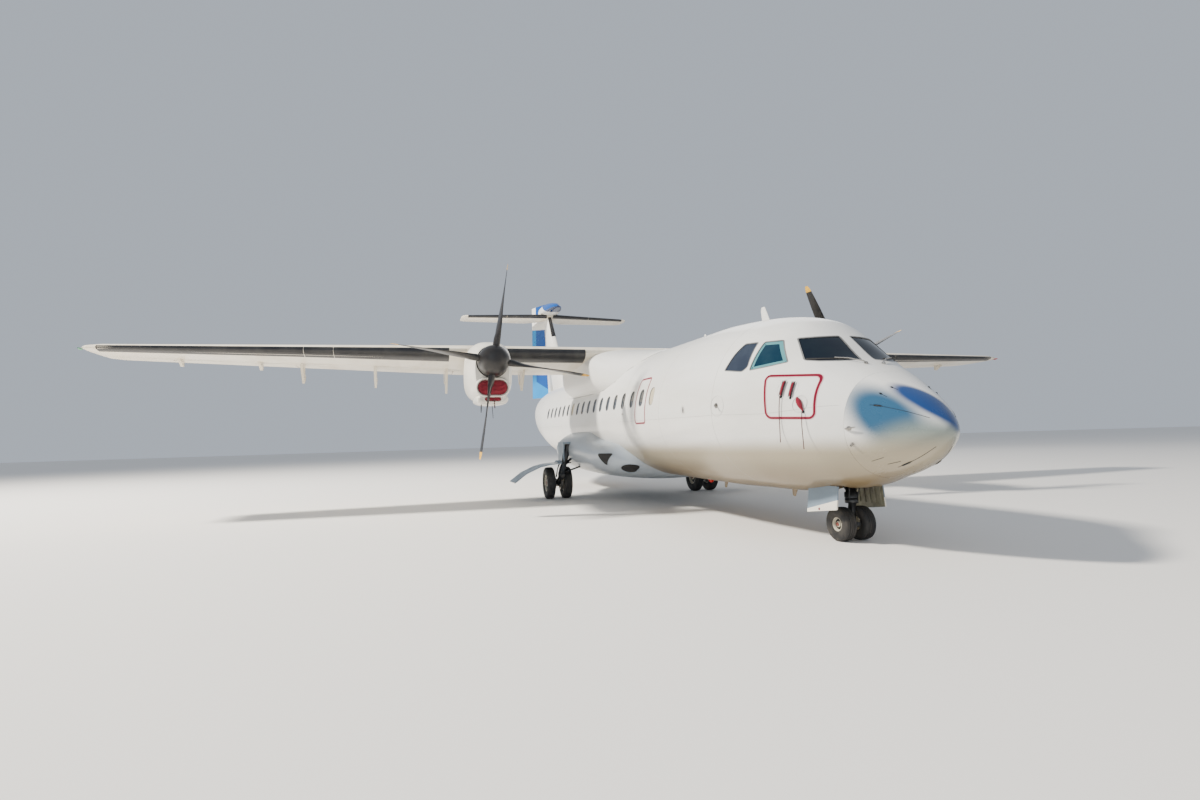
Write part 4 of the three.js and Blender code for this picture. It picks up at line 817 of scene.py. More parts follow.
make_fuselage()
make_cockpit_panes()
make_cabin_windows()
make_doors()


# Wings: y, leading edge station, its height, chord, thickness ratio, fall of the trailing edge, camber
WING = np.array([
    (0, 9300, 3612, 2570, 0.18, 280, 1),
    (4400, 9300, 3612, 2570, 0.18, 280, 1),
    (11900, 10005, 3717, 1450, 0.13, 105, 1),
    (12180, 10090, 3722, 1300, 0.105, 85, 1),
    (12285, 10260, 3730, 1000, 0.05, 58, 1),
])
TAILPLANE = np.array([
    (0, 20620, 6700, 2050, 0.12, 0, 0),
    (3480, 21180, 6700, 1330, 0.11, 0, 0),
    (3600, 21260, 6700, 1150, 0.09, 0, 0),
    (3655, 21400, 6700, 950, 0.05, 0, 0),
])
# The fin, by height
FIN = np.array([
    (2950, 17440, 0, 4660, 0.09, 0, 0),
    (6700, 20700, 0, 1900, 0.12, 0, 0),
    (7400, 21184, 0, 1506, 0.13, 0, 0),
])
CAMBER, CREST = 0.022, 0.35
# The thickness of a foil: each term's factor, and its power of the share of the chord
FOIL_TERMS = ((0.2969, 0.5), (-0.126, 1), (-0.3516, 2), (0.2843, 3), (-0.0985, 4))


def foil_point(table, along, x, upper, out=0.0):
    """Station and height of a wing section's skin at a share of its chord, moved out by a little."""
    lead, z, chord, thick, fall, curved = (float(np.interp(along, table[:, 0], c)) for c in table.T[1:])
    lead, chord, thick = lead - out, chord + 2 * out, thick + 2.4 * out / chord
    ahead = CAMBER * x / CREST**2 * (2 * CREST - x)
    behind = CAMBER * (1 - 2 * CREST + 2 * CREST * x - x * x) / (1 - CREST) ** 2
    line = (ahead if x < CREST else behind) * chord * curved - fall * x
    half = 5 * thick * sum(factor * x**power for factor, power in FOIL_TERMS) * chord
    return lead + x * chord, z + line + (half if upper else -half)


def across_wing(station, along, rise):
    return air(station, along, rise)


def across_fin(station, along, rise):
    return air(station, rise, along)


BOOT_STEPS = 9
BOOT_DEPTH = 4


def boot_ring(table, along, upper, lower, place, out):
    """The line of a boot round a leading edge, and back inside it."""
    top = [upper * (1 - k / BOOT_STEPS) ** 2 for k in range(BOOT_STEPS)]
    low = [lower * (k / BOOT_STEPS) ** 2 for k in range(BOOT_STEPS + 1)]
    walk = [(x, True) for x in top] + [(x, False) for x in low]
    ring = []
    for row, lift in ((walk, out), (reversed(walk), -BOOT_DEPTH)):
        for x, high in row:
            station, rise = foil_point(table, along, x, high, lift)
            ring.append(place(station, along, rise))
    return ring


def boot(table, start, end, place, upper=0.024, lower=0.13, out=3.0):
    """A rubber de-icing boot on a leading edge, sunk into the skin at both ends."""
    spans = [start, start + 1]
    spans += [start + (end - start) * k / 6 for k in range(1, 6)]
    spans += [end - 1, end]
    rings = []
    for along in spans:
        skin = -2.0 if along in (start, end) else out
        rings.append(boot_ring(table, along, upper, lower, place, skin))
    return rings_to_skin(rings)


# The boots of a wing, from the fairing out to the tip, of the tailplane and of the fin: start and end
WING_BOOTS = ((1562, 3585), (4800, 7296), (7306, 7914), (7924, 11930))
TAIL_BOOTS = ((125, 1790), (1800, 3400))
FIN_BOOT = (5700, 6640)


def make_wings():
    for name, side in SIDES.items():
        for node in ("wing", "inner_flap", "outer_flap", "aileron"):
            dressed(f"{node}_{name}", CREAM, 24)
        boots = [boot(WING, start, end, across_wing) for start, end in WING_BOOTS]
        settle(f"wing_boots_{name}", mirrored_to(merge(*boots), side), BOOT, angle=40)
        tail = [boot(TAILPLANE, start, end, across_wing, upper=0.08, lower=0.08) for start, end in TAIL_BOOTS]
        settle(f"tailplane_boots_{name}", mirrored_to(merge(*tail), side), BOOT, angle=40)
        dressed(f"elevator_{name}", CREAM, angle=24)
    dressed("wing_centre", CREAM, 24)
    dressed("tailplane", CREAM, 24)
    fin_boot = boot(FIN, *FIN_BOOT, across_fin, upper=0.06, lower=0.06)
    settle("fin_boot", fin_boot, BOOT, angle=40)
    dressed("fin", WHITE, 24)


# The rudder: its turn when parked, heights of its white band, slopes and widths of its cyan parts
RUDDER_REST = 0.42
RUDDER_WHITE = (6.52, 6.88)
RUDDER_WHITE_FALL = 0.14
RUDDER_FALL = 0.42
RUDDER_FOOT = 0.66
RUDDER_STRIP = 0.36
# Its trailing edge is looked for below the first of these heights and above the second
RUDDER_ENDS = (3.6, 7.0)


def make_rudder():
    bm = node_copy("rudder")
    chord = Matrix.Rotation(RUDDER_REST, 3, "Z") @ Vector((-1, 0, 0))
    low_end, high_end = RUDDER_ENDS
    trail_low = max((v.co for v in bm.verts if v.co.z < low_end), key=lambda co: co.dot(chord)).copy()
    trail_high = max((v.co for v in bm.verts if v.co.z > high_end), key=lambda co: co.dot(chord)).copy()
    edge = (trail_high - trail_low).normalized()
    ahead = (chord - edge * chord.dot(edge)).normalized()
    strip = trail_low - ahead * RUDDER_STRIP
    low_white, high_white = RUDDER_WHITE
    diagonal = (Vector((0, 0, 1)) - ahead * RUDDER_FALL).normalized()
    foot = strip + Vector((0, 0, RUDDER_FOOT))
    band = strip + edge * ((low_white - strip.z) / edge.z)
    level = (Vector((0, 0, 1)) - ahead * RUDDER_WHITE_FALL).normalized()
    cuts = ((strip, ahead), (band, level), (Vector((0, 0, high_white)), Vector((0, 0, 1))), (foot, diagonal))
    for point, normal in cuts:
        split(bm, point, normal)
    for face in bm.faces:
        middle = face.calc_center_median()
        behind = (middle - strip).dot(ahead) > 0
        below = (middle - foot).dot(diagonal) < 0
        shade_of = 0 if behind or below else 1
        if (middle - band).dot(level) > 0:
            shade_of = 1 if middle.z > high_white and not behind else 2
        face.material_index = shade_of
    settle("rudder_skin", bm, [CYAN, BLUE, WHITE], "rudder", ("rudder",), 24)


def body_skin(table, y=0.0, points=64, step=90.0):
    """The skin of a rounded body, with its rings closest at the ends."""
    flow = flowing(np.array(table, dtype=float))
    start, end = flow[0][0], flow[0][-1]
    rings = []
    count = max(2, int((end - start) / step))
    for k in range(count + 1):
        station = start + (end - start) * (0.5 - 0.5 * cos(pi * k / count))
        half, mid, top, bottom, power = (float(np.interp(station, flow[0], c)) for c in flow[1:])
        ring = []
        for i in range(points):
            angle = (i + 0.5) * tau / points
            rise = top - mid if cos(angle) > 0 else mid - bottom
            across = y + half * bend(sin(angle), power)
            ring.append(air(station, across, mid + rise * bend(cos(angle), power)))
        rings.append(ring)
    return rings_to_skin(rings)


# Rounded bodies: station, half width, height of the widest line, top, bottom, corner power
FIN_CAP = (
    (19170, 34, 6838, 6870, 6806, 2.0),
    (19260, 120, 6838, 6925, 6775, 2.0),
    (19420, 200, 6838, 6985, 6758, 2.0),
    (19700, 280, 6842, 7060, 6744, 2.1),
    (20150, 345, 6850, 7150, 6730, 2.2),
    (20700, 382, 6860, 7215, 6722, 2.3),
    (21330, 380, 6860, 7245, 6720, 2.3),
)
WING_FAIRING = (
    (7050, 300, 3050, 3380, 2800, 2.2),
    (7400, 850, 3000, 3478, 2700, 2.3),
    (7768, 985, 2950, 3520, 2600, 2.3),
    (8233, 1200, 2950, 3575, 2450, 2.4),
    (8851, 1420, 3050, 3655, 2400, 2.6),
    (9350, 1540, 3200, 3725, 2440, 2.9),
    (10000, 1560, 3250, 3800, 2450, 3.0),
    (10600, 1560, 3250, 3812, 2450, 3.0),
    (11700, 1560, 3240, 3790, 2470, 3.0),
    (12500, 1400, 3200, 3720, 2640, 2.6),
    (13400, 950, 3150, 3580, 2850, 2.3),
    (14200, 400, 3120, 3430, 3000, 2.1),
)
GEAR_FAIRING = (
    (7120, 760, 940, 990, 770, 2.0),
    (7190, 1050, 1010, 1160, 712, 2.0),
    (7300, 1245, 1060, 1300, 672, 2.0),
    (7743, 1500, 1130, 1590, 612, 2.2),
    (8607, 1760, 1200, 1600, 560, 2.2),
    (9200, 1820, 1235, 1740, 540, 2.2),
    (9673, 1850, 1250, 1875, 533, 2.2),
    (10300, 1865, 1250, 1880, 530, 2.2),
    (11300, 1840, 1250, 1870, 545, 2.2),
    (12200, 1700, 1230, 1780, 610, 2.2),
    (13000, 1400, 1180, 1600, 720, 2.1),
    (13700, 900, 1100, 1300, 900, 2.0),
)
# A wheel well: stations from and to, distances from the middle, height of its roof
GEAR_WELL = (9950, 11150, 780, 2600, 1400)
NACELLE = (
    (7440, 345, 3020, 3490, 2475, 2.5),
    (7520, 392, 3000, 3535, 2452, 2.7),
    (7700, 432, 2980, 3592, 2436, 2.9),
    (8000, 470, 2960, 3650, 2420, 3.0),
    (8500, 486, 2960, 3685, 2412, 3.0),
    (9300, 442, 3030, 3720, 2440, 2.9),
    (10200, 378, 3120, 3745, 2560, 2.6),
    (11100, 310, 3200, 3590, 2760, 2.4),
    (11900, 235, 3240, 3470, 2980, 2.2),
    (12500, 90, 3300, 3370, 3210, 2.0),
)
CHIN = (
    (7425, 268, 2410, 2475, 2335, 2.8),
    (7445, 300, 2410, 2485, 2302, 2.8),
    (7500, 316, 2412, 2500, 2288, 2.9),
    (7700, 322, 2415, 2520, 2282, 2.9),
    (8300, 315, 2425, 2560, 2300, 2.8),
    (8900, 270, 2440, 2600, 2350, 2.6),
    (9400, 150, 2470, 2620, 2430, 2.3),
)
ENGINE_Y = 4050
THRUST_Z = 3164


def block(lows, highs, place=air):
    """A plain block between two corners, as a cutter."""
    bm = bmesh.new()
    bmesh.ops.create_cube(bm, size=1.0)
    bmesh.ops.translate(bm, vec=(0.5, 0.5, 0.5), verts=bm.verts)
    for vert in bm.verts:
        vert.co = place(*(low + (high - low) * share for low, high, share in zip(lows, highs, vert.co)))
    bmesh.ops.recalc_face_normals(bm, faces=bm.faces)
    return bm


def on_body(table, side):
    """Skin points of a rounded body by station and height."""
    flow = flowing(np.array(table, dtype=float))

    def point(station, z):
        half, mid, top, bottom, power = (float(np.interp(station, flow[0], c)) for c in flow[1:])
        rise = (z - mid) / (top - mid) if z > mid else (mid - z) / (mid - bottom)
        return air(station, side * half * max(0.0, 1 - abs(rise) ** power) ** (1 / power), z)

    def spot(station, z, lift):
        fore = point(station - 5, z) - point(station + 5, z)
        rise = point(station, z + 5) - point(station, z - 5)
        out = fore.cross(rise).normalized()
        out *= 1 if out.y * side > 0 else -1
        return point(station, z) + out * lift * MM

    return spot


# Marks of the gear fairing, by station and height: a three-cornered vent and an oval air inlet, drawn as dark
# plates that paint the shade inside the openings
VENT = [(8180, 1205), (7640, 1212), (7960, 925)]
AIR_INLET = {"station": 7400, "z": 892, "along": (172, 4), "across": (-120, 88)}


def make_fairing_marks():
    for name, side in SIDES.items():
        spot = on_body(GEAR_FAIRING, side)
        vent = laid_panel(VENT, spot, 6, -6, corner=75, step=40)
        ring = laid_panel(grown(VENT, 26), spot, 5, -4, corner=82, rim=14, step=40)
        inlet = AIR_INLET
        oval = []
        for k in range(28):
            along = Vector(inlet["along"]) * cos(tau * k / 28)
            across = Vector(inlet["across"]) * sin(tau * k / 28)
            oval.append(tuple(Vector((inlet["station"], inlet["z"])) + along + across))
        hole = laid_panel(oval, spot, 6, -6, step=40)
        lip = laid_panel(grown(oval, 14), spot, 9, -4, rim=16, step=40)
        # Dark plates paint the shade inside the vent and the inlet.
        settle(f"fairing_vent_shades_{name}", merge(vent, hole), DARK)
        settle(f"fairing_vent_rims_{name}", merge(ring, lip), GREY)


def make_fairings():
    fore, aft, inner, outer, roof = GEAR_WELL
    wells = [block((fore, side * inner, 0), (aft, side * outer, roof)) for side in SIDES.values()]
    fairing = carve(body_skin(GEAR_FAIRING, points=88, step=120), wells)
    # The fairing carries a blue-grey painted shade and sky reflection.
    settle("landing_gear_fairing_skin", fairing, [FAIRING_SHADE_AND_SKY],
           stands_for=("landing_gear_fairing",), angle=28)
    settle("wing_fairing_skin", body_skin(WING_FAIRING, points=88, step=110), WHITE,
           stands_for=("wing_fairing",), angle=60)


# Where the colours of the fin cap meet: a point and the normal of a plane, first blue to navy, then to white
FIN_CAP_EDGES = (((19400, 0, 6815), (0.02, 0, -1)), ((20420, 0, 6955), (-0.55, 0, -1)))


def make_fin_cap():
    cap = body_skin(FIN_CAP, points=56, step=45)
    lower, root = ((air(*point), Vector(normal)) for point, normal in FIN_CAP_EDGES)
    for point, normal in (lower, root):
        split(cap, point, normal)
    for face in cap.faces:
        middle = face.calc_center_median()
        beneath = (middle - lower[0]).dot(lower[1]) > 0
        white = (middle - root[0]).dot(root[1]) > 0
        face.material_index = 2 if white else 1 if beneath else 0
    settle("fin_cap_skin", cap, [BLUE, NAVY, WHITE], stands_for=("fin_cap",), angle=50)


# Chin intake and scoop: half width, low, high
INTAKE = (305, 2490, 2800)
SCOOP = (165, 2365, 2455)
# Rings of what lies in the mouths: station, and distance inside the mouth's line
INTAKE_DUCT = ((7300, 0), (8150, 0))
SCOOP_DUCT = ((7300, 0), (7850, 0))
INTAKE_LIP = ((7445, 3), (7405, -5), (7392, -22), (7402, -40), (7440, -54), (7560, -48))
SCOOP_LIP = ((7440, 3), (7412, -4), (7404, -14), (7412, -24), (7440, -32), (7500, -30))
INTAKE_PLUG = ((7700, 4), (7470, 4), (7432, 6), (7413, 14), (7400, 42), (7394, 88), (7391, 128))
SCOOP_PLUG = ((7650, 4), (7470, 4), (7432, 5), (7414, 12), (7406, 30))
# Turned parts of the engine: distance along the axis and radius
# The dark disc behind the spinner paints the shade in the gap between spinner and nacelle.
SPINNER_GAP_SHADE_PROFILE = ((0, 0), (0, 300), (8, 322), (26, 330), (26, 0))
EXHAUST_PROFILE = ((0, 80), (0, 120), (1050, 120), (1050, 106), (300, 106), (300, 0))
# Drain masts: points as station, distance outboard of the engine's middle and height, radii, sides
DRAIN_MASTS = (
    (((7560, 225, 2300), (7566, 226, 2230), (7580, 228, 2140)), (13, 12, 8), 10),
    (((7860, -30, 2300), (7880, -40, 2170), (7900, -52, 2030)), (8, 6, 5), 8),
)


BEND_STEPS = 10


def stadium(station, mouth, shrink):
    """A flat sided oval across the airframe, round a mouth of the nacelle."""
    half, low, high = mouth
    radius = (high - low) / 2 - shrink
    arm = half - shrink - radius
    middle = (low + high) / 2
    ring = []
    for way in (1, -1):
        for k in range(BEND_STEPS + 1):
            angle = way * pi / 2 - pi * k / BEND_STEPS
            ring.append((station, ENGINE_Y + way * arm + radius * cos(angle), middle + radius * sin(angle)))
    return ring


def mouth_body(mouth, rows):
    rings = []
    for station, shrink in rows:
        rings.append([air(*point) for point in stadium(station, mouth, shrink)])
    return rings_to_skin(rings)


def lathe(profile, start, end, steps=48):
    """A turned piece: distances along an axis from start to end, with a radius at each."""
    start, end = Vector(start), Vector(end)
    way = (end - start).normalized()
    turn = way.to_track_quat("Z", "Y")
    bm = bmesh.new()
    verts = [bm.verts.new(start + turn @ Vector((radius * MM, 0, along * MM))) for along, radius in profile]
    edges = [bm.edges.new(pair) for pair in zip(verts, verts[1:])]
    bmesh.ops.spin(bm, geom=verts + edges, cent=start, axis=way, angle=tau, steps=steps, use_merge=True)
    bmesh.ops.remove_doubles(bm, verts=bm.verts, dist=1e-5)
    bmesh.ops.recalc_face_normals(bm, faces=bm.faces)
    return bm


FOLD_DEPTH = 0.013


def crumpled(bm):
    """Presses soft folds into the front of a cloth piece."""
    for vert in bm.verts:
        across, up = vert.co.y, vert.co.z
        fold = sin(across * 58 + up * 31) * sin(up * 43 - across * 21) + 0.6 * abs(sin(across * 27 - up * 60))
        vert.co.x += FOLD_DEPTH * fold
    return bm


def make_nacelles():
    for name, side in SIDES.items():
        duct = mouth_body(INTAKE, INTAKE_DUCT)
        scoop_duct = mouth_body(SCOOP, SCOOP_DUCT)
        shell = carve(body_skin(NACELLE, y=ENGINE_Y, points=80, step=70), [duct])
        settle(f"nacelle_{name}_skin", mirrored_to(shell, side), CREAM_WHITE, stands_for=(f"nacelle_{name}",),
               angle=28)
        chin = carve(body_skin(CHIN, y=ENGINE_Y, points=64, step=60), [scoop_duct])
        settle(f"chin_scoop_{name}", mirrored_to(chin, side), CREAM_WHITE, angle=28)
        lips = [mouth_body(INTAKE, INTAKE_LIP), mouth_body(SCOOP, SCOOP_LIP)]
        settle(f"intake_lips_{name}", mirrored_to(merge(*lips), side), CREAM_WHITE, angle=60)
        # A dark disc behind the spinner: painted shade in the gap.
        back = lathe(SPINNER_GAP_SHADE_PROFILE, air(7452, ENGINE_Y, THRUST_Z), air(7400, ENGINE_Y, THRUST_Z))
        settle(f"spinner_gap_shade_{name}", mirrored_to(back, side), DARK)
        pipe = lathe(EXHAUST_PROFILE, air(10700, 4060, 3010), air(11740, 4100, 2890), 32)
        settle(f"exhaust_{name}", mirrored_to(pipe, side), EXHAUST_METAL, angle=40)
        plug = merge(mouth_body(INTAKE, INTAKE_PLUG), mouth_body(SCOOP, SCOOP_PLUG))
        bmesh.ops.subdivide_edges(plug, edges=plug.edges, cuts=1, use_grid_fill=True)
        plug = crumpled(plug)
        bmesh.ops.recalc_face_normals(plug, faces=plug.faces)
        cover = settle(f"intake_cover_{name}_cloth", mirrored_to(plug, side), RED_CLOTH,
                       stands_for=(f"intake_cover_{name}",), angle=60)
        masts = []
        for points, radii, sides in DRAIN_MASTS:
            path = [air(station, ENGINE_Y + y, z) for station, y, z in points]
            masts.append(tube(path, radii, sides))
        settle(f"drain_masts_{name}", mirrored_to(merge(*masts), side), STEEL)


# Propellers: distance out, chord, thickness, angle of the chord from straight ahead
BLADE = np.array([
    (120, 144, 144, 0.5),
    (330, 150, 138, 0.5),
    (560, 230, 84, 0.34),
    (900, 312, 46, 0.14),
    (1300, 316, 30, 0.0),
    (1650, 278, 20, -0.07),
    (1880, 216, 13, -0.11),
    (1980, 110, 7, -0.13),
])
PROPELLER_STATION = 7145
SPINNER_STATION = 6800
BLADE_COUNT = 4
BLADE_POINTS = 24
BLADE_TURN = {"left": 0.4284, "right": -0.1563}
TIP_START = 1835
BLADE_SPANS = {"black": (120, TIP_START), "yellow": (TIP_START, 1980)}
SPINNER_PROFILE = ((0, 0), (2, 60), (14, 120), (40, 178), (90, 232), (160, 272), (250, 297), (340, 309),
                   (470, 315), (600, 315), (600, 280))


def blade_rings(start, end):
    """The rings of a blade between two distances from the propeller's axis."""
    flow = flowing(BLADE)
    rings = []
    count = max(3, int((end - start) / 70))
    for k in range(count + 1):
        out = start + (end - start) * k / count
        chord, thick, angle = (float(np.interp(out, flow[0], c)) for c in flow[1:])
        ring = []
        for i in range(BLADE_POINTS):
            around = (i + 0.5) * tau / BLADE_POINTS
            a = chord / 2 * cos(around)
            b = thick / 2 * sin(around) * (0.78 + 0.22 * cos(around) if thick < 100 else 1)
            ring.append((a * cos(angle) - b * sin(angle), a * sin(angle) + b * cos(angle), out))
        rings.append(ring)
    return rings


def make_propellers():
    for name, side in SIDES.items():
        body = f"propeller_{name}"
        spin = Matrix.Rotation(BLADE_TURN[name], 4, "X")
        parts = {"black": [], "yellow": []}
        for k in range(BLADE_COUNT):
            turn = spin @ Matrix.Rotation(-k * tau / BLADE_COUNT, 4, "X")
            for part, span in BLADE_SPANS.items():
                rings = []
                for ring in blade_rings(*span):
                    placed = []
                    for point in ring:
                        x, y, z = turn @ Vector(point)
                        placed.append(air(PROPELLER_STATION - x, side * ENGINE_Y + y, THRUST_Z + z))
                    rings.append(placed)
                parts[part].append(rings_to_skin(rings))
        settle(f"blades_{name}", merge(*parts["black"]), BLADE_BLACK, body,
               (f"propeller_{name}",), 50)
        settle(f"blade_tips_{name}", merge(*parts["yellow"]), YELLOW, body, angle=50)
        tip = air(SPINNER_STATION, side * ENGINE_Y, THRUST_Z)
        back = air(SPINNER_STATION + 600, side * ENGINE_Y, THRUST_Z)
        cone = lathe(SPINNER_PROFILE, tip, back, 64)
        settle(f"spinner_{name}_skin", cone, BLADE_BLACK, body, (f"spinner_{name}",), 35)


make_wings()
make_rudder()
make_fairings()
make_fairing_marks()
make_fin_cap()
make_nacelles()
make_propellers()

# Landing gear
MAIN_GEAR_Y = 2050
AXLE = 28
GEAR_NODES = ("main_gear_leg_left", "main_gear_leg_right", "nose_gear_leg", "nose_gear_fork")
MAIN_WHEEL = {"station": 10600, "radius": 406.5, "width": 220, "rim": 208, "spread": 440}
NOSE_WHEEL = {"station": 1816, "radius": 225, "width": 186, "rim": 88, "spread": 300}
# Turned parts of a wheel, as shares of its half width and of the rim's radius
RIM_FACE = ((0.74, 0.97), (0.66, 0.93), (0.40, 0.86), (0.30, 0.66), (0.34, 0.46), (0.55, 0.42), (0.60, 0.34),
            (0.60, 0))
RIM_BACK = ((-0.2, 0), (-0.2, 0.80), (-0.68, 0.95), (-0.7, 1))
# A dark ring over the rim's dish: painted shade inside the wheel.
RIM_DISH_SHADE = ((0.38, 0.78), (0.41, 0.78), (0.41, 0.40), (0.38, 0.40), (0.38, 0.78))
HUB_CAP = ((0.5, 0), (0.5, 0.32), (0.64, 0.30), (0.70, 0.16), (0.70, 0))
RIM_BOLT = ((0, 0), (0, 0.06), (0.12, 0.06), (0.12, 0))
BOLT_COUNT = 9
BOLT_RING = (0.28, 0.62)
# The wall of a tyre, as shares of its half width and of its depth from the rim
TYRE_WALL = ((0.72, 0.03), (0.90, 0.2), (0.985, 0.42), (0.97, 0.66), (0.89, 0.86), (0.76, 0.955))
TREAD_EDGE = 0.52
GROOVES = (0.34, 0.02)
GROOVE_DEPTH = 8


def tyre_profile(wheel):
    half = wheel["width"] / 2
    depth = wheel["radius"] - wheel["rim"]
    side = [(0.60 * half, wheel["rim"] - 2)]
    side += [(wide * half, wheel["rim"] + deep * depth) for wide, deep in TYRE_WALL]
    tread = [(TREAD_EDGE * half, wheel["radius"] - 2)]
    for groove in GROOVES:
        middle = groove * half
        floor = wheel["radius"] - GROOVE_DEPTH
        tread += [(middle + 6, wheel["radius"] - 0.6), (middle + 4, floor)]
        tread += [(middle - 4, floor), (middle - 6, wheel["radius"])]
    right = side + tread
    left = [(-y, radius) for y, radius in reversed(side + tread[:5])]
    profile = right + left
    return profile + [profile[0]]


def turned(shares, wheel, start, outward, steps):
    """A turned part of a wheel, given as shares of its half width and of its rim."""
    profile = [(along * wheel["width"] / 2, share * wheel["rim"]) for along, share in shares]
    return lathe(profile, start, start + Vector((0, outward, 0)), steps)


def make_wheels():
    sets = (
        ("main", MAIN_WHEEL, MAIN_GEAR_Y, "left", "main_wheels_left", ("outer", "inner")),
        ("main", MAIN_WHEEL, -MAIN_GEAR_Y, "right", "main_wheels_right", ("inner", "outer")),
        ("nose", NOSE_WHEEL, 0, "", "nose_wheels", ("left", "right")),
    )
    for kind, wheel, y, name, body, ends in sets:
        rims, dish_shades, hubs = [], [], []
        for way, end in zip((1, -1), ends):
            middle = y + way * wheel["spread"] / 2
            start = parked(wheel["station"], middle, wheel["radius"])
            tyre = lathe(tyre_profile(wheel), start, start + Vector((0, 1, 0)), 72)
            node = f"main_tyre_{name}_{end}" if kind == "main" else f"nose_tyre_{end}"
            settle(f"{node}_rubber", tyre, TYRE, body, (node,), 35)
            half, rim = wheel["width"] / 2, wheel["rim"]
            outward = 1 if middle > y else -1
            edge = (0.72, (rim + 4) / rim)
            rims.append(turned((edge, *RIM_FACE, *RIM_BACK, edge), wheel, start, outward, 56))
            dish_shades.append(turned(RIM_DISH_SHADE, wheel, start, outward, 48))
            hubs.append(turned(HUB_CAP, wheel, start, outward, 24))
            depth, ring = BOLT_RING[0] * half * MM, BOLT_RING[1] * rim * MM
            for k in range(BOLT_COUNT):
                turn = tau * k / BOLT_COUNT
                spot = start + Vector((cos(turn) * ring, outward * depth, sin(turn) * ring))
                rims.append(turned(RIM_BOLT, wheel, spot, outward, 6))
        node = f"main_wheel_{name}" if kind == "main" else "nose_wheel"
        reach = wheel["spread"] / 2
        centre = parked(wheel["station"], y, wheel["radius"])
        aside = parked(wheel["station"], y + 1000, wheel["radius"])
        axle = lathe([(-reach, 0), (-reach, AXLE), (reach, AXLE), (reach, 0)], centre, aside, 24)
        settle(f"{node}_rims", merge(*rims, axle), RIM, body, (node,), 35)
        # The dark rings paint the shade in the wheels' dishes.
        settle(f"{node}_recesses", merge(*dish_shades), DARK, body, angle=35)
        settle(f"{node}_hub_caps", merge(*hubs), HUB_RED, body, angle=35)


# A main gear door, as a bent line of points by y and height
MAIN_DOOR_LINE = ((1998, 1450), (1998, 975), (2045, 925), (2350, 902), (2600, 850), (2950, 695), (3240, 480))
# The stations between which its upper and lower parts reach, and those of its arms
UPPER_DOOR_SPAN = (10050, 10650)
LOWER_DOOR_SPAN = (10050, 10960)
DOOR_ARM_STATIONS = (10080, 10560)
MAIN_DOOR_THICK = 22
NOSE_DOOR = {
    "fore": 1592,
    "aft": 2212,
    "top": 905,
    "fore_low": 608,
    "aft_low": 520,
    "fore_wedge": 124,
    "aft_wedge": 44,
    "y": 336,
    "splay": 0.11,
    "thick": 18,
}
RIB_PITCH = 105


def plate_along(line, start, end, thick, side):
    """A bent plate: a line across the airframe as y and height, drawn out between two stations."""
    bm = bmesh.new()
    rows = []
    for station in (start, end):
        verts = [bm.verts.new(parked(station, side * y, z)) for y, z in line]
        rows.append([bm.edges.new(pair) for pair in zip(verts, verts[1:])])
    bmesh.ops.bridge_loops(bm, edges=rows[0] + rows[1])
    bmesh.ops.recalc_face_normals(bm, faces=bm.faces)
    bmesh.ops.solidify(bm, geom=bm.faces[:], thickness=thick * MM)
    bmesh.ops.recalc_face_normals(bm, faces=bm.faces)
    return bm


def nose_door_point(side, station, y, z):
    """A point by its distance out from the inner face of a nose gear door."""
    door = NOSE_DOOR
    lean = door["splay"] * (door["top"] - z)
    return air(station, side * (door["y"] + y + lean), z)


def nose_door(side):
    """A nose gear door with its white lower wedge and the ribs on its inner face."""
    door = NOSE_DOOR

    def place(station, y, z):
        return nose_door_point(side, station, y, z)

    leaf = bmesh.new()
    corners = [(door["fore"], door["top"]), (door["aft"], door["top"]), (door["aft"], door["aft_low"]),
               (door["fore"], door["fore_low"])]
    face = leaf.faces.new([leaf.verts.new((station, 0, z)) for station, z in corners])
    made = bmesh.ops.extrude_face_region(leaf, geom=[face], use_keep_orig=True)
    for vert in (item for item in made["geom"] if isinstance(item, bmesh.types.BMVert)):
        vert.co.y = door["thick"]
    low = Vector((door["fore"], 0, door["fore_low"] + door["fore_wedge"]))
    fall = Vector((door["aft"], 0, door["aft_low"] + door["aft_wedge"])) - low
    normal = Vector((-fall.z, 0, fall.x))
    split(leaf, low, normal)
    for face in leaf.faces:
        middle = face.calc_center_median()
        face.material_index = 2 if middle.y < 0.1 else 1 if (middle - low).dot(normal) < 0 else 0
    for vert in leaf.verts:
        vert.co = place(*vert.co)
    bmesh.ops.recalc_face_normals(leaf, faces=leaf.faces)
    ribs = [block((station, -16, door["fore_low"] + 30), (station + 26, 0, door["top"] - 40), place)
            for station in range(door["fore"] + 40, door["aft"] - 60, RIB_PITCH)]
    return leaf, ribs


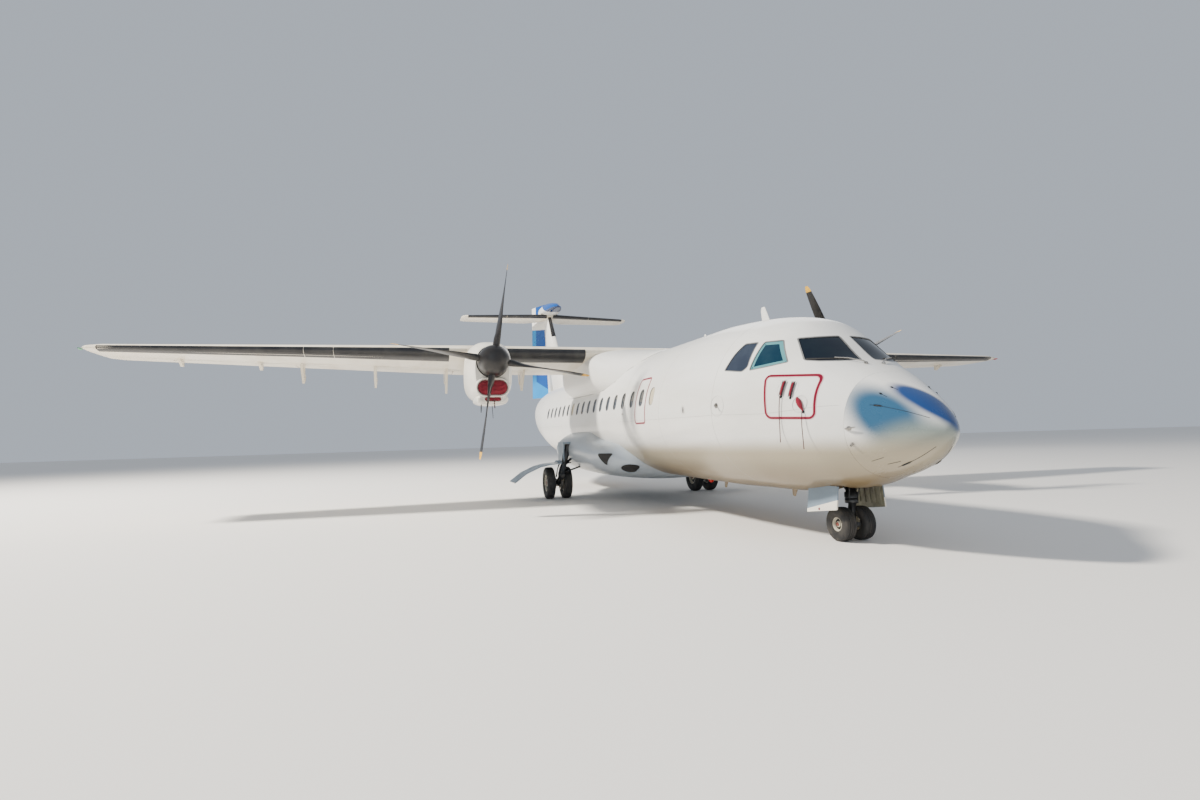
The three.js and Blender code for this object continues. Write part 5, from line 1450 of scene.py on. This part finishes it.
def make_gear():
    for node in GEAR_NODES:
        dressed(node, STEEL, 35)
    for name, side in SIDES.items():
        upper = plate_along(MAIN_DOOR_LINE[:3], *UPPER_DOOR_SPAN, MAIN_DOOR_THICK, side)
        lower = plate_along(MAIN_DOOR_LINE[1:], *LOWER_DOOR_SPAN, MAIN_DOOR_THICK, side)
        arms = [block((station, side * 1740, 1404), (station + 70, side * 2004, 1440), parked)
                for station in DOOR_ARM_STATIONS]
        settle(f"main_gear_door_{name}_skin", merge(upper, lower, *arms), DOOR_BLUE, "airframe",
               (f"main_gear_door_{name}",), 30)
        leaf, ribs = nose_door(side)
        settle(f"nose_gear_door_{name}_skin", leaf, [DOOR_BLUE, CREAM_WHITE, BAY],
               stands_for=(f"nose_gear_door_{name}",))
        settle(f"nose_gear_door_{name}_ribs", merge(*ribs), BAY)
        near, far = (nose_door_point(side, 1950, NOSE_DOOR["thick"] + out, 585) for out in (1, 101))
        dot = lathe([(-2, 0), (-2, 17), (2, 17), (2, 0)], near, far, 20)
        settle(f"nose_door_mark_{name}", dot, RED_PAINT)
        make_main_gear_details(name, side)
    make_nose_gear_details()


# Turned parts of a brake: distance along the axle and radius
BRAKE_PROFILE = ((0, 0), (0, 150), (12, 168), (52, 168), (60, 150), (60, 0))
BRAKE_PISTON_PROFILE = ((0, 0), (0, 22), (32, 22), (32, 0))
# Places in metres: a brake from the middle of its leg, its pistons round the axle, and their inner ends
BRAKE_START = 0.066
BRAKE_PISTONS = 6
PISTON_RING = 0.115
PISTON_START = 0.03
# Tubes of a main leg: points as station, distance from the middle and height, radii, sides
MAIN_LINES = (
    (((10180, 2016, 900), (10440, 2024, 760), (10560, 2016, 560)), (20, 13, 20), 10),
    (((10180, 2084, 900), (10440, 2076, 760), (10560, 2084, 560)), (20, 13, 20), 10),
    (((10120, 1990, 1180), (10080, 2030, 900), (10120, 2060, 640), (10380, 2060, 500)), (9, 9, 9, 9), 8),
    (((10210, 1930, 1200), (10220, 1990, 940), (10250, 2010, 700), (10470, 2030, 540)), (7, 7, 7, 7), 8),
    (((10060, 1800, 930), (10100, 2010, 880)), (15, 15), 10),
    (((10100, 785, 1060), (10110, 1960, 690)), (22, 22), 12),
)
SHOCK_ROD = (((10340, 1904, 1110), (10420, 1960, 860)), (34, 34), 18)
# Tubes of the nose leg, in the same way
NOSE_LINES = (
    (((1700, -60, 900), (1705, -78, 700), (1740, -64, 540), (1790, -50, 420)), (7, 7, 7, 7), 8),
    (((1700, 60, 900), (1705, 78, 700), (1740, 64, 540), (1790, 50, 420)), (7, 7, 7, 7), 8),
    (((2120, 0, 880), (1850, 0, 660)), (20, 20), 12),
    (((1740, -150, 800), (1740, 150, 800)), (30, 30), 14),
)
TAXI_LIGHT_PROFILE = ((0, 0), (0, 40), (-20, 48), (-52, 46), (-70, 20), (-70, 0))


def gear_tube(points, radii, sides, side=1):
    """A tube of the landing gear, through points that are mirrored for the starboard side."""
    path = [parked(station, side * y, z) for station, y, z in points]
    return tube(path, radii, sides)


def make_main_gear_details(name, side):
    """Brake, torque links, hoses and lines of a main leg."""
    hub = parked(MAIN_WHEEL["station"], side * MAIN_GEAR_Y, MAIN_WHEEL["radius"])
    brakes = []
    for way in (-1, 1):
        start = hub + Vector((0, way * BRAKE_START, 0))
        brakes.append(lathe(BRAKE_PROFILE, start, start + Vector((0, way, 0)), 32))
        for k in range(BRAKE_PISTONS):
            turn = tau * (k + 0.5) / BRAKE_PISTONS
            around = Vector((cos(turn) * PISTON_RING, 0, sin(turn) * PISTON_RING))
            spot = start + around - Vector((0, way * PISTON_START, 0))
            brakes.append(lathe(BRAKE_PISTON_PROFILE, spot, spot + Vector((0, way, 0)), 12))
    settle(f"brakes_{name}", merge(*brakes), BARE_METAL)
    links = [gear_tube(*line, side) for line in MAIN_LINES]
    settle(f"gear_links_{name}", merge(*links), STEEL)
    settle(f"shock_rod_{name}", gear_tube(*SHOCK_ROD, side), CHROME)


def make_nose_gear_details():
    lines = [gear_tube(*line) for line in NOSE_LINES]
    settle("nose_gear_lines", merge(*lines), STEEL, body_of_node("nose_gear_leg"))
    lamps = []
    for way in (-1, 1):
        spot = parked(1640, way * 74, 770)
        lamps.append(lathe(TAXI_LIGHT_PROFILE, spot, spot + Vector((1, 0, 0)), 24))
    settle("taxi_lights", merge(*lamps), CHROME, body_of_node("nose_gear_leg"), angle=50)


make_wheels()
make_gear()


# Small fittings and marks of the skin
def on_hull(side):
    """Skin points by station, y and height, for lines that are drawn through measured points."""
    def spot(station, y, z, lift):
        *_, mid, power = hull_section(station)
        corner = power if z > mid else 2.0
        share = hull_level(station, y, z) ** (-1 / corner)
        return lifted(station, side * abs(y) * share, mid + (z - mid) * share, lift)

    return spot


LINE_STEPS = 6


def skin_line(points, radius, lift=0.0, side=-1, sides=8):
    """A round line that follows the skin through points given as station, y and height."""
    spot = on_hull(side)
    path = []
    for near, far in zip(points, points[1:]):
        for k in range(LINE_STEPS):
            share = k / LINE_STEPS
            path.append(spot(*(a + (b - a) * share for a, b in zip(near, far)), lift))
    path.append(spot(*points[-1], lift))
    return tube(path, radius, sides)


DISC_POINTS = 24


def disc_on_skin(station, z, radius, side, out=1.6, rim=0.0, stretch=1.0):
    """A round or oval plate on the skin, or only its rim."""
    outline = []
    for k in range(DISC_POINTS):
        turn = tau * k / DISC_POINTS
        outline.append((station + radius * cos(turn), z + radius * stretch * sin(turn)))
    return laid_panel(outline, on_side(side), out, -3, rim=rim, step=45)


SEAM_WIDTH = 5.0


def seam_ring(station):
    """A butt joint of the skin that runs round the body."""
    end = station + SEAM_WIDTH
    rows = ((station, 3.0), (station, -0.7), (end, -0.7), (end, 3.0))
    loop = [hull_ring(place, inset) for place, inset in rows]
    bm = rings_to_skin(loop + [loop[0]], closed=False)
    bmesh.ops.remove_doubles(bm, verts=bm.verts, dist=1e-5)
    bmesh.ops.recalc_face_normals(bm, faces=bm.faces)
    return bm


def blade_aerial(station, z, height, length, place):
    """A swept blade of an aerial with a rounded foil section."""
    rings = []
    for k in range(7):
        share = k / 6
        chord = length * (1 - 0.45 * share) * (1.0 if share < 0.9 else 0.75)
        ring = []
        for i in range(16):
            angle = tau * i / 16
            a = station + 0.55 * height * share + chord * (0.5 - 0.5 * cos(angle))
            ring.append(place(a, 0.055 * length * sin(angle) * (1.1 + 0.5 * cos(angle)), z + height * share))
        rings.append(ring)
    return rings_to_skin(rings)


NOSE_FRAME = [(2100, 2397), (1318, 2338), (1262, 1777), (2016, 1803)]
EXIT_FRAME = rectangle(5672, 1820, 6242, 2700)
PITOT_COVERS = (((1778, 932, 2288), (1789, 1001, 2094)), ((1643, 889, 2264), (1645, 963, 2072)),
                ((1537, 926, 2059), (1431, 920, 1884)))
DIVERTER_STRIPS = (
    ((726, 524, 1920), (635, 463, 1903), (425, 313, 1822), (215, 164, 1738)),
    ((710, 405, 2057), (665, 390, 2032), (620, 374, 2005)),
    ((681, 271, 2124), (640, 254, 2104), (598, 236, 2083)),
    ((643, 248, 1199), (430, 174, 1325), (217, 100, 1452)),
    ((801, 470, 1270), (658, 422, 1319)),
    ((683, 350, 1236), (549, 287, 1273)),
)
SEAM_STATIONS = (3060, 4990, 7020, 12650, 15080, 17400, 19050)
# Lines of the skin, as points by station, y and height
WATERLINE = ((3720, 1416, 1886), (2980, 1357, 1892), (2114, 1131, 1873), (1400, 800, 1895), (1020, 640, 1905))
WING_ROOT = ((12400, 1270, 2668), (11694, 1283, 2640), (10006, 1285, 2634), (8851, 1269, 2662),
             (8233, 1179, 2818), (7768, 971, 3069), (7353, 765, 3234), (7080, 480, 3383))
# Radii along a slim cover of a probe and along the thick one of the vane
PROBE_COVER = (5, 15, 19, 20, 19, 15, 6)
VANE_COVER = (10, 28, 35, 35, 29, 18, 8)
# A bent probe on the side of the nose: points as station, y, height and lift, and radii
VANE_ARM = (((935, 700, 1650, 5), (900, 680, 1655, 34), (845, 650, 1664, 46), (815, 632, 1668, 48)),
            (11, 12, 8, 3))
# A small mast below the windows of the flight deck: points as station, height and lift, and radii
MAST = (((2955, 2030, -4), (2935, 2036, 36), (2905, 2014, 62), (2864, 1989, 66)), (15, 12, 9, 4))
# Turned parts of the probes: distance out of the skin and radius
VANE_FOOT_PROFILE = ((-5, 0), (-5, 30), (4, 28), (7, 0))
LOW_PROBE_PROFILE = ((-4, 0), (-4, 24), (3, 24), (5, 17), (46, 15), (52, 10), (40, 9), (40, 0))


def make_markings():
    for name, side in SIDES.items():
        for frame_name, outline, corner in (("nose_frame", NOSE_FRAME, 95), ("exit_frame", EXIT_FRAME, 80)):
            line = laid_panel(outline, on_side(side), 4.5, -2, corner=corner, rim=28, step=50, segments=8)
            settle(f"{frame_name}_{name}", line, RED_PAINT)
            edge = laid_panel(grown(outline, 9), on_side(side), 3.0, -2, corner=corner + 6, rim=42, step=50,
                              segments=8)
            settle(f"{frame_name}_edge_{name}", edge, PINK)
        waterline = [skin_line(WATERLINE, 2.0, side=side, sides=6)]
        waterline.append(laid_panel(rectangle(3720, 1884, 7300, 1888), on_side(side), 0.8, -2, step=400))
        waterline.append(laid_panel(rectangle(12600, 1884, 18600, 1888), on_side(side), 0.8, -2, step=300))
        root = skin_line(WING_ROOT, 5, side=side, sides=6)
        settle(f"wing_fairing_seam_{name}", root, SEAM_GREY)
        hatch = laid_panel(rectangle(6950, 2020, 7060, 2060), on_side(side), 1.0, -2, corner=10)
        settle(f"waterline_seam_{name}", merge(*waterline, hatch), SEAM_PALE)
        exit_seam = laid_panel(grown(EXIT_FRAME, -30), on_side(side), 0.7, -2, corner=60, rim=4, step=90)
        settle(f"exit_seam_{name}", exit_seam, SEAM_GREY)
    settle("skin_seams", merge(*(seam_ring(station) for station in SEAM_STATIONS)), SEAM_PALE)
    gaps = [laid_panel(door_outline(door, 4), on_side(DOORS[door][0]), -2, -14, corner=DOOR_CORNER + 4, rim=4,
                       step=90) for door in DOORS]
    settle("door_gap_seals", merge(*gaps), DARK)


def cover_path(spot, cover, lift, steps=6, shift=0):
    """Points along a cover of a probe, from its head to its foot."""
    (head, _, high), (foot, _, low) = cover
    return [spot(head + (foot - head) * k / steps + shift, high + (low - high) * k / steps, lift)
            for k in range(steps + 1)]


def make_probes():
    for name, side in SIDES.items():
        strips = []
        for points in DIVERTER_STRIPS:
            last = LINE_STEPS * (len(points) - 1)
            bulge = [len(points) > 2 and 0.12 < k / last < 0.34 for k in range(last + 1)]
            strips.append(skin_line(points, [11 if wide else 2.6 for wide in bulge], 1.0, side))
        settle(f"diverter_strips_{name}", merge(*strips), STEEL)
        spot = on_side(side)
        covers = [tube(cover_path(spot, cover, 17), PROBE_COVER, 14) for cover in PITOT_COVERS[:2]]
        settle(f"pitot_cover_cores_{name}", merge(*covers), RED_CLOTH)
        frames = [tube(cover_path(spot, cover, 20, 4, shift), 6.5, 8)
                  for cover in PITOT_COVERS[:2] for shift in (-20, 20)]
        plate = disc_on_skin(1716, 2178, 150, side, out=1.2, rim=5, stretch=0.95)
        feet = [disc_on_skin(s1, z1 - 12, 17, side, out=7) for (_, _, _), (s1, _, z1) in PITOT_COVERS]
        settle(f"pitot_cover_clips_{name}", merge(*frames, *feet, plate), STEEL)
        third = tube(cover_path(spot, PITOT_COVERS[2], 19), VANE_COVER, 14)
        settle(f"vane_cover_{name}", third, RED_COVER_BRIGHT)
        ring = disc_on_skin(1495, 1974, 104, side, out=4.5, rim=13)
        settle(f"vane_ring_{name}", ring, DARK_RED)
        plug_spot = on_hull(side)
        base = plug_spot(900, 680, 1655, 0)
        out = (plug_spot(900, 680, 1655, 60) - base).normalized()
        points, radii = VANE_ARM
        arm = tube([plug_spot(*point) for point in points], radii, 8)
        vane = [lathe(VANE_FOOT_PROFILE, base, base + out, 24), arm]
        low = plug_spot(892, 648, 1472, 0)
        away = (plug_spot(892, 648, 1472, 60) - low).normalized()
        vane.append(lathe(LOW_PROBE_PROFILE, low, low + away, 20))
        points, radii = MAST
        vane.append(tube([spot(*point) for point in points], radii, 10))
        vane.append(disc_on_skin(2950, 2028, 40, side, out=2))
        vane.append(disc_on_skin(3953, 2006, 30, side, out=1.6, stretch=1.7))
        settle(f"air_data_probes_{name}", merge(*vane), BARE_METAL)
        rings = [disc_on_skin(2930, 2020, 150, side, out=3, rim=5)]
        rings.append(disc_on_skin(3953, 2006, 70, side, out=3, rim=5))
        settle(f"probe_rings_{name}", merge(*rings), SEAM_PALE)


def streamer(name, points, width):
    """A cover's ribbon, drawn as a round tube that hangs down from the cover."""
    path = [Vector(point) for point in points]
    length = sum((far - near).length for near, far in zip(path, path[1:]))
    ribbon = settle(name, tube(path, width / 2, 8), DARK_RED)
    tuple(path[0])
    [tuple(point) for point in path]


# Ribbons of the probe covers: name, cover, how far the free end hangs down, and how far aft
COVER_STREAMERS = (("first", PITOT_COVERS[0], 600, 0), ("vane", PITOT_COVERS[2], 470, -34))


def make_streamers():
    for name, side in SIDES.items():
        for label, cover, drop, lean in COVER_STREAMERS:
            station, _, z = cover[1]
            start = on_side(side)(station, z - 6, 30)
            points = []
            for k in range(15):
                share = k / 14
                away = 0.022 * sin(pi * min(1.0, share * 2.2) / 2)
                points.append(start + Vector((-lean * MM * share, side * away, -drop * MM * share)))
            streamer(f"cover_streamer_{label}_{name}", points, 11)
        flag = []
        for k in range(14):
            flag.append(air(7392 + 8 * sin(k / 5), side * (ENGINE_Y - 20 - k * 0.9), 2402 - 14 * k))
        streamer(f"scoop_streamer_{name}", flag, 22)


# The arm of a wiper, by distance from the middle, height and lift, its radii, and the boss at its foot
WIPER_ARM = (((130, 2462, 6), (150, 2476, 26), (290, 2520, 32), (430, 2545, 24)), (10, 9, 8, 6))
WIPER_BOSS_PROFILE = ((-6, 0), (-6, 26), (10, 24), (26, 14), (28, 0))


def make_wipers():
    for name, side in SIDES.items():
        spot = on_front(side)
        blade = [spot(250 + 440 * k / 8, 2534 + 24 * (k / 8) ** 2, 12) for k in range(9)]
        points, radii = WIPER_ARM
        arm = tube([spot(*point) for point in points], radii, 8)
        pivot = spot(130, 2462, 0)
        away = (spot(130, 2462, 40) - pivot).normalized()
        boss = lathe(WIPER_BOSS_PROFILE, pivot, pivot + away, 20)
        settle(f"wiper_blade_{name}", tube(blade, 9, 8), TYRE)
        settle(f"wiper_arm_{name}", merge(arm, boss), BARE_METAL)


# Aerials on the roof and below the belly: station, height of the foot, how far it stands out, length
ROOF_AERIALS = ((3560, 3385, 300, 250), (5860, 3455, 120, 130), (12900, 3455, 240, 220),
                (14900, 3455, 220, 200))
BELLY_AERIALS = ((3000, -742, 110, 150), (14300, -724, 200, 200), (5200, -712, 120, 150))
BEACON_PROFILE = ((0, 0), (0, 62), (24, 60), (60, 48), (84, 24), (92, 0))
TAIL_LIGHT_PROFILE = ((0, 0), (0, 34), (30, 30), (52, 16), (58, 0))
TIP_LIGHT = (((10080, 12262, 3700), (10180, 12284, 3700), (10300, 12282, 3700)), (10, 24, 12))


def upside_down(station, y, z):
    return air(station, y, -z)


def make_aerials():
    top = [blade_aerial(*row, air) for row in ROOF_AERIALS]
    low = [blade_aerial(*row, upside_down) for row in BELLY_AERIALS]
    settle("aerials", merge(*top, *low), WHITE, angle=40)
    beacons = []
    for station, z, way in ((13600, 3462, 1), (5900, 716, -1)):
        foot = air(station, 0, z - 12 * way)
        beacons.append(lathe(BEACON_PROFILE, foot, foot + Vector((0, 0, way)), 28))
    settle("beacons", merge(*beacons), BEACON_RED, angle=60)
    for name, side in SIDES.items():
        points, radii = TIP_LIGHT
        path = [air(station, side * y, z) for station, y, z in points]
        lamp = tube(path, radii, 14)
        lens = BEACON_RED if name == "left" else TIP_GREEN
        settle(f"tip_light_{name}", lamp, lens, angle=60)
    tail = lathe(TAIL_LIGHT_PROFILE, air(22292, 0, 2750), air(22400, 0, 2750), 20)
    settle("tail_light", tail, GLASS_CLEAR, angle=60)


for node in ("engine_left", "engine_right"):
    for slot in frame["nodes"][node].material_slots:
        slot.material = EXHAUST_METAL

make_markings()
make_probes()
make_streamers()
make_wipers()
make_aerials()

# Light and floor. Lamps: name, place, size, power, colour
LAMPS = (
    ("key", (-4.4, -34, 32.4), 4.5, 54000, (1.0, 0.95, 0.86)),
    ("fill", (36, -16, 14), 24, 1500, (0.90, 0.95, 1.0)),
    ("rim", (-30, 24, 28), 22, 2500, (1.0, 0.98, 0.95)),
)
AIMED_AT = Vector((2, 0, 2))
FLOOR_SIZE = 600
FLOOR_DROP = 0.0005
FLOOR_PAINT = {"Base Color": (0.80, 0.775, 0.74, 1), "Roughness": 0.85}
SKY = {"Color": (0.80, 0.88, 1.0, 1), "Strength": 0.6}


def make_stage():
    floor_mesh = bmesh.new()
    bmesh.ops.create_grid(floor_mesh, x_segments=1, y_segments=1, size=FLOOR_SIZE)
    mesh = bpy.data.meshes.new("floor")
    floor_mesh.to_mesh(mesh)
    floor_mesh.free()
    floor = link("floor", mesh)
    floor.location.z = -FLOOR_DROP
    paint = bpy.data.materials.new("floor_paint")
    paint.use_nodes = True
    set_inputs(paint.node_tree.nodes["Principled BSDF"], FLOOR_PAINT)
    mesh.materials.append(paint)
    world = bpy.data.worlds.new("studio")
    bpy.context.scene.world = world
    world.use_nodes = True
    set_inputs(world.node_tree.nodes["Background"], SKY)
    for name, place, size, power, tint in LAMPS:
        data = bpy.data.lights.new(name, "AREA")
        data.size = size
        data.energy = power
        data.color = tint
        lamp = bpy.data.objects.new(name, data)
        spot = Vector(place)
        aim = (AIMED_AT - spot).to_track_quat("-Z", "Y")
        lamp.matrix_world = Matrix.Translation(spot) @ aim.to_matrix().to_4x4()
        lamp.visible_glossy = name != "key"
        bpy.context.scene.collection.objects.link(lamp)


make_stage()
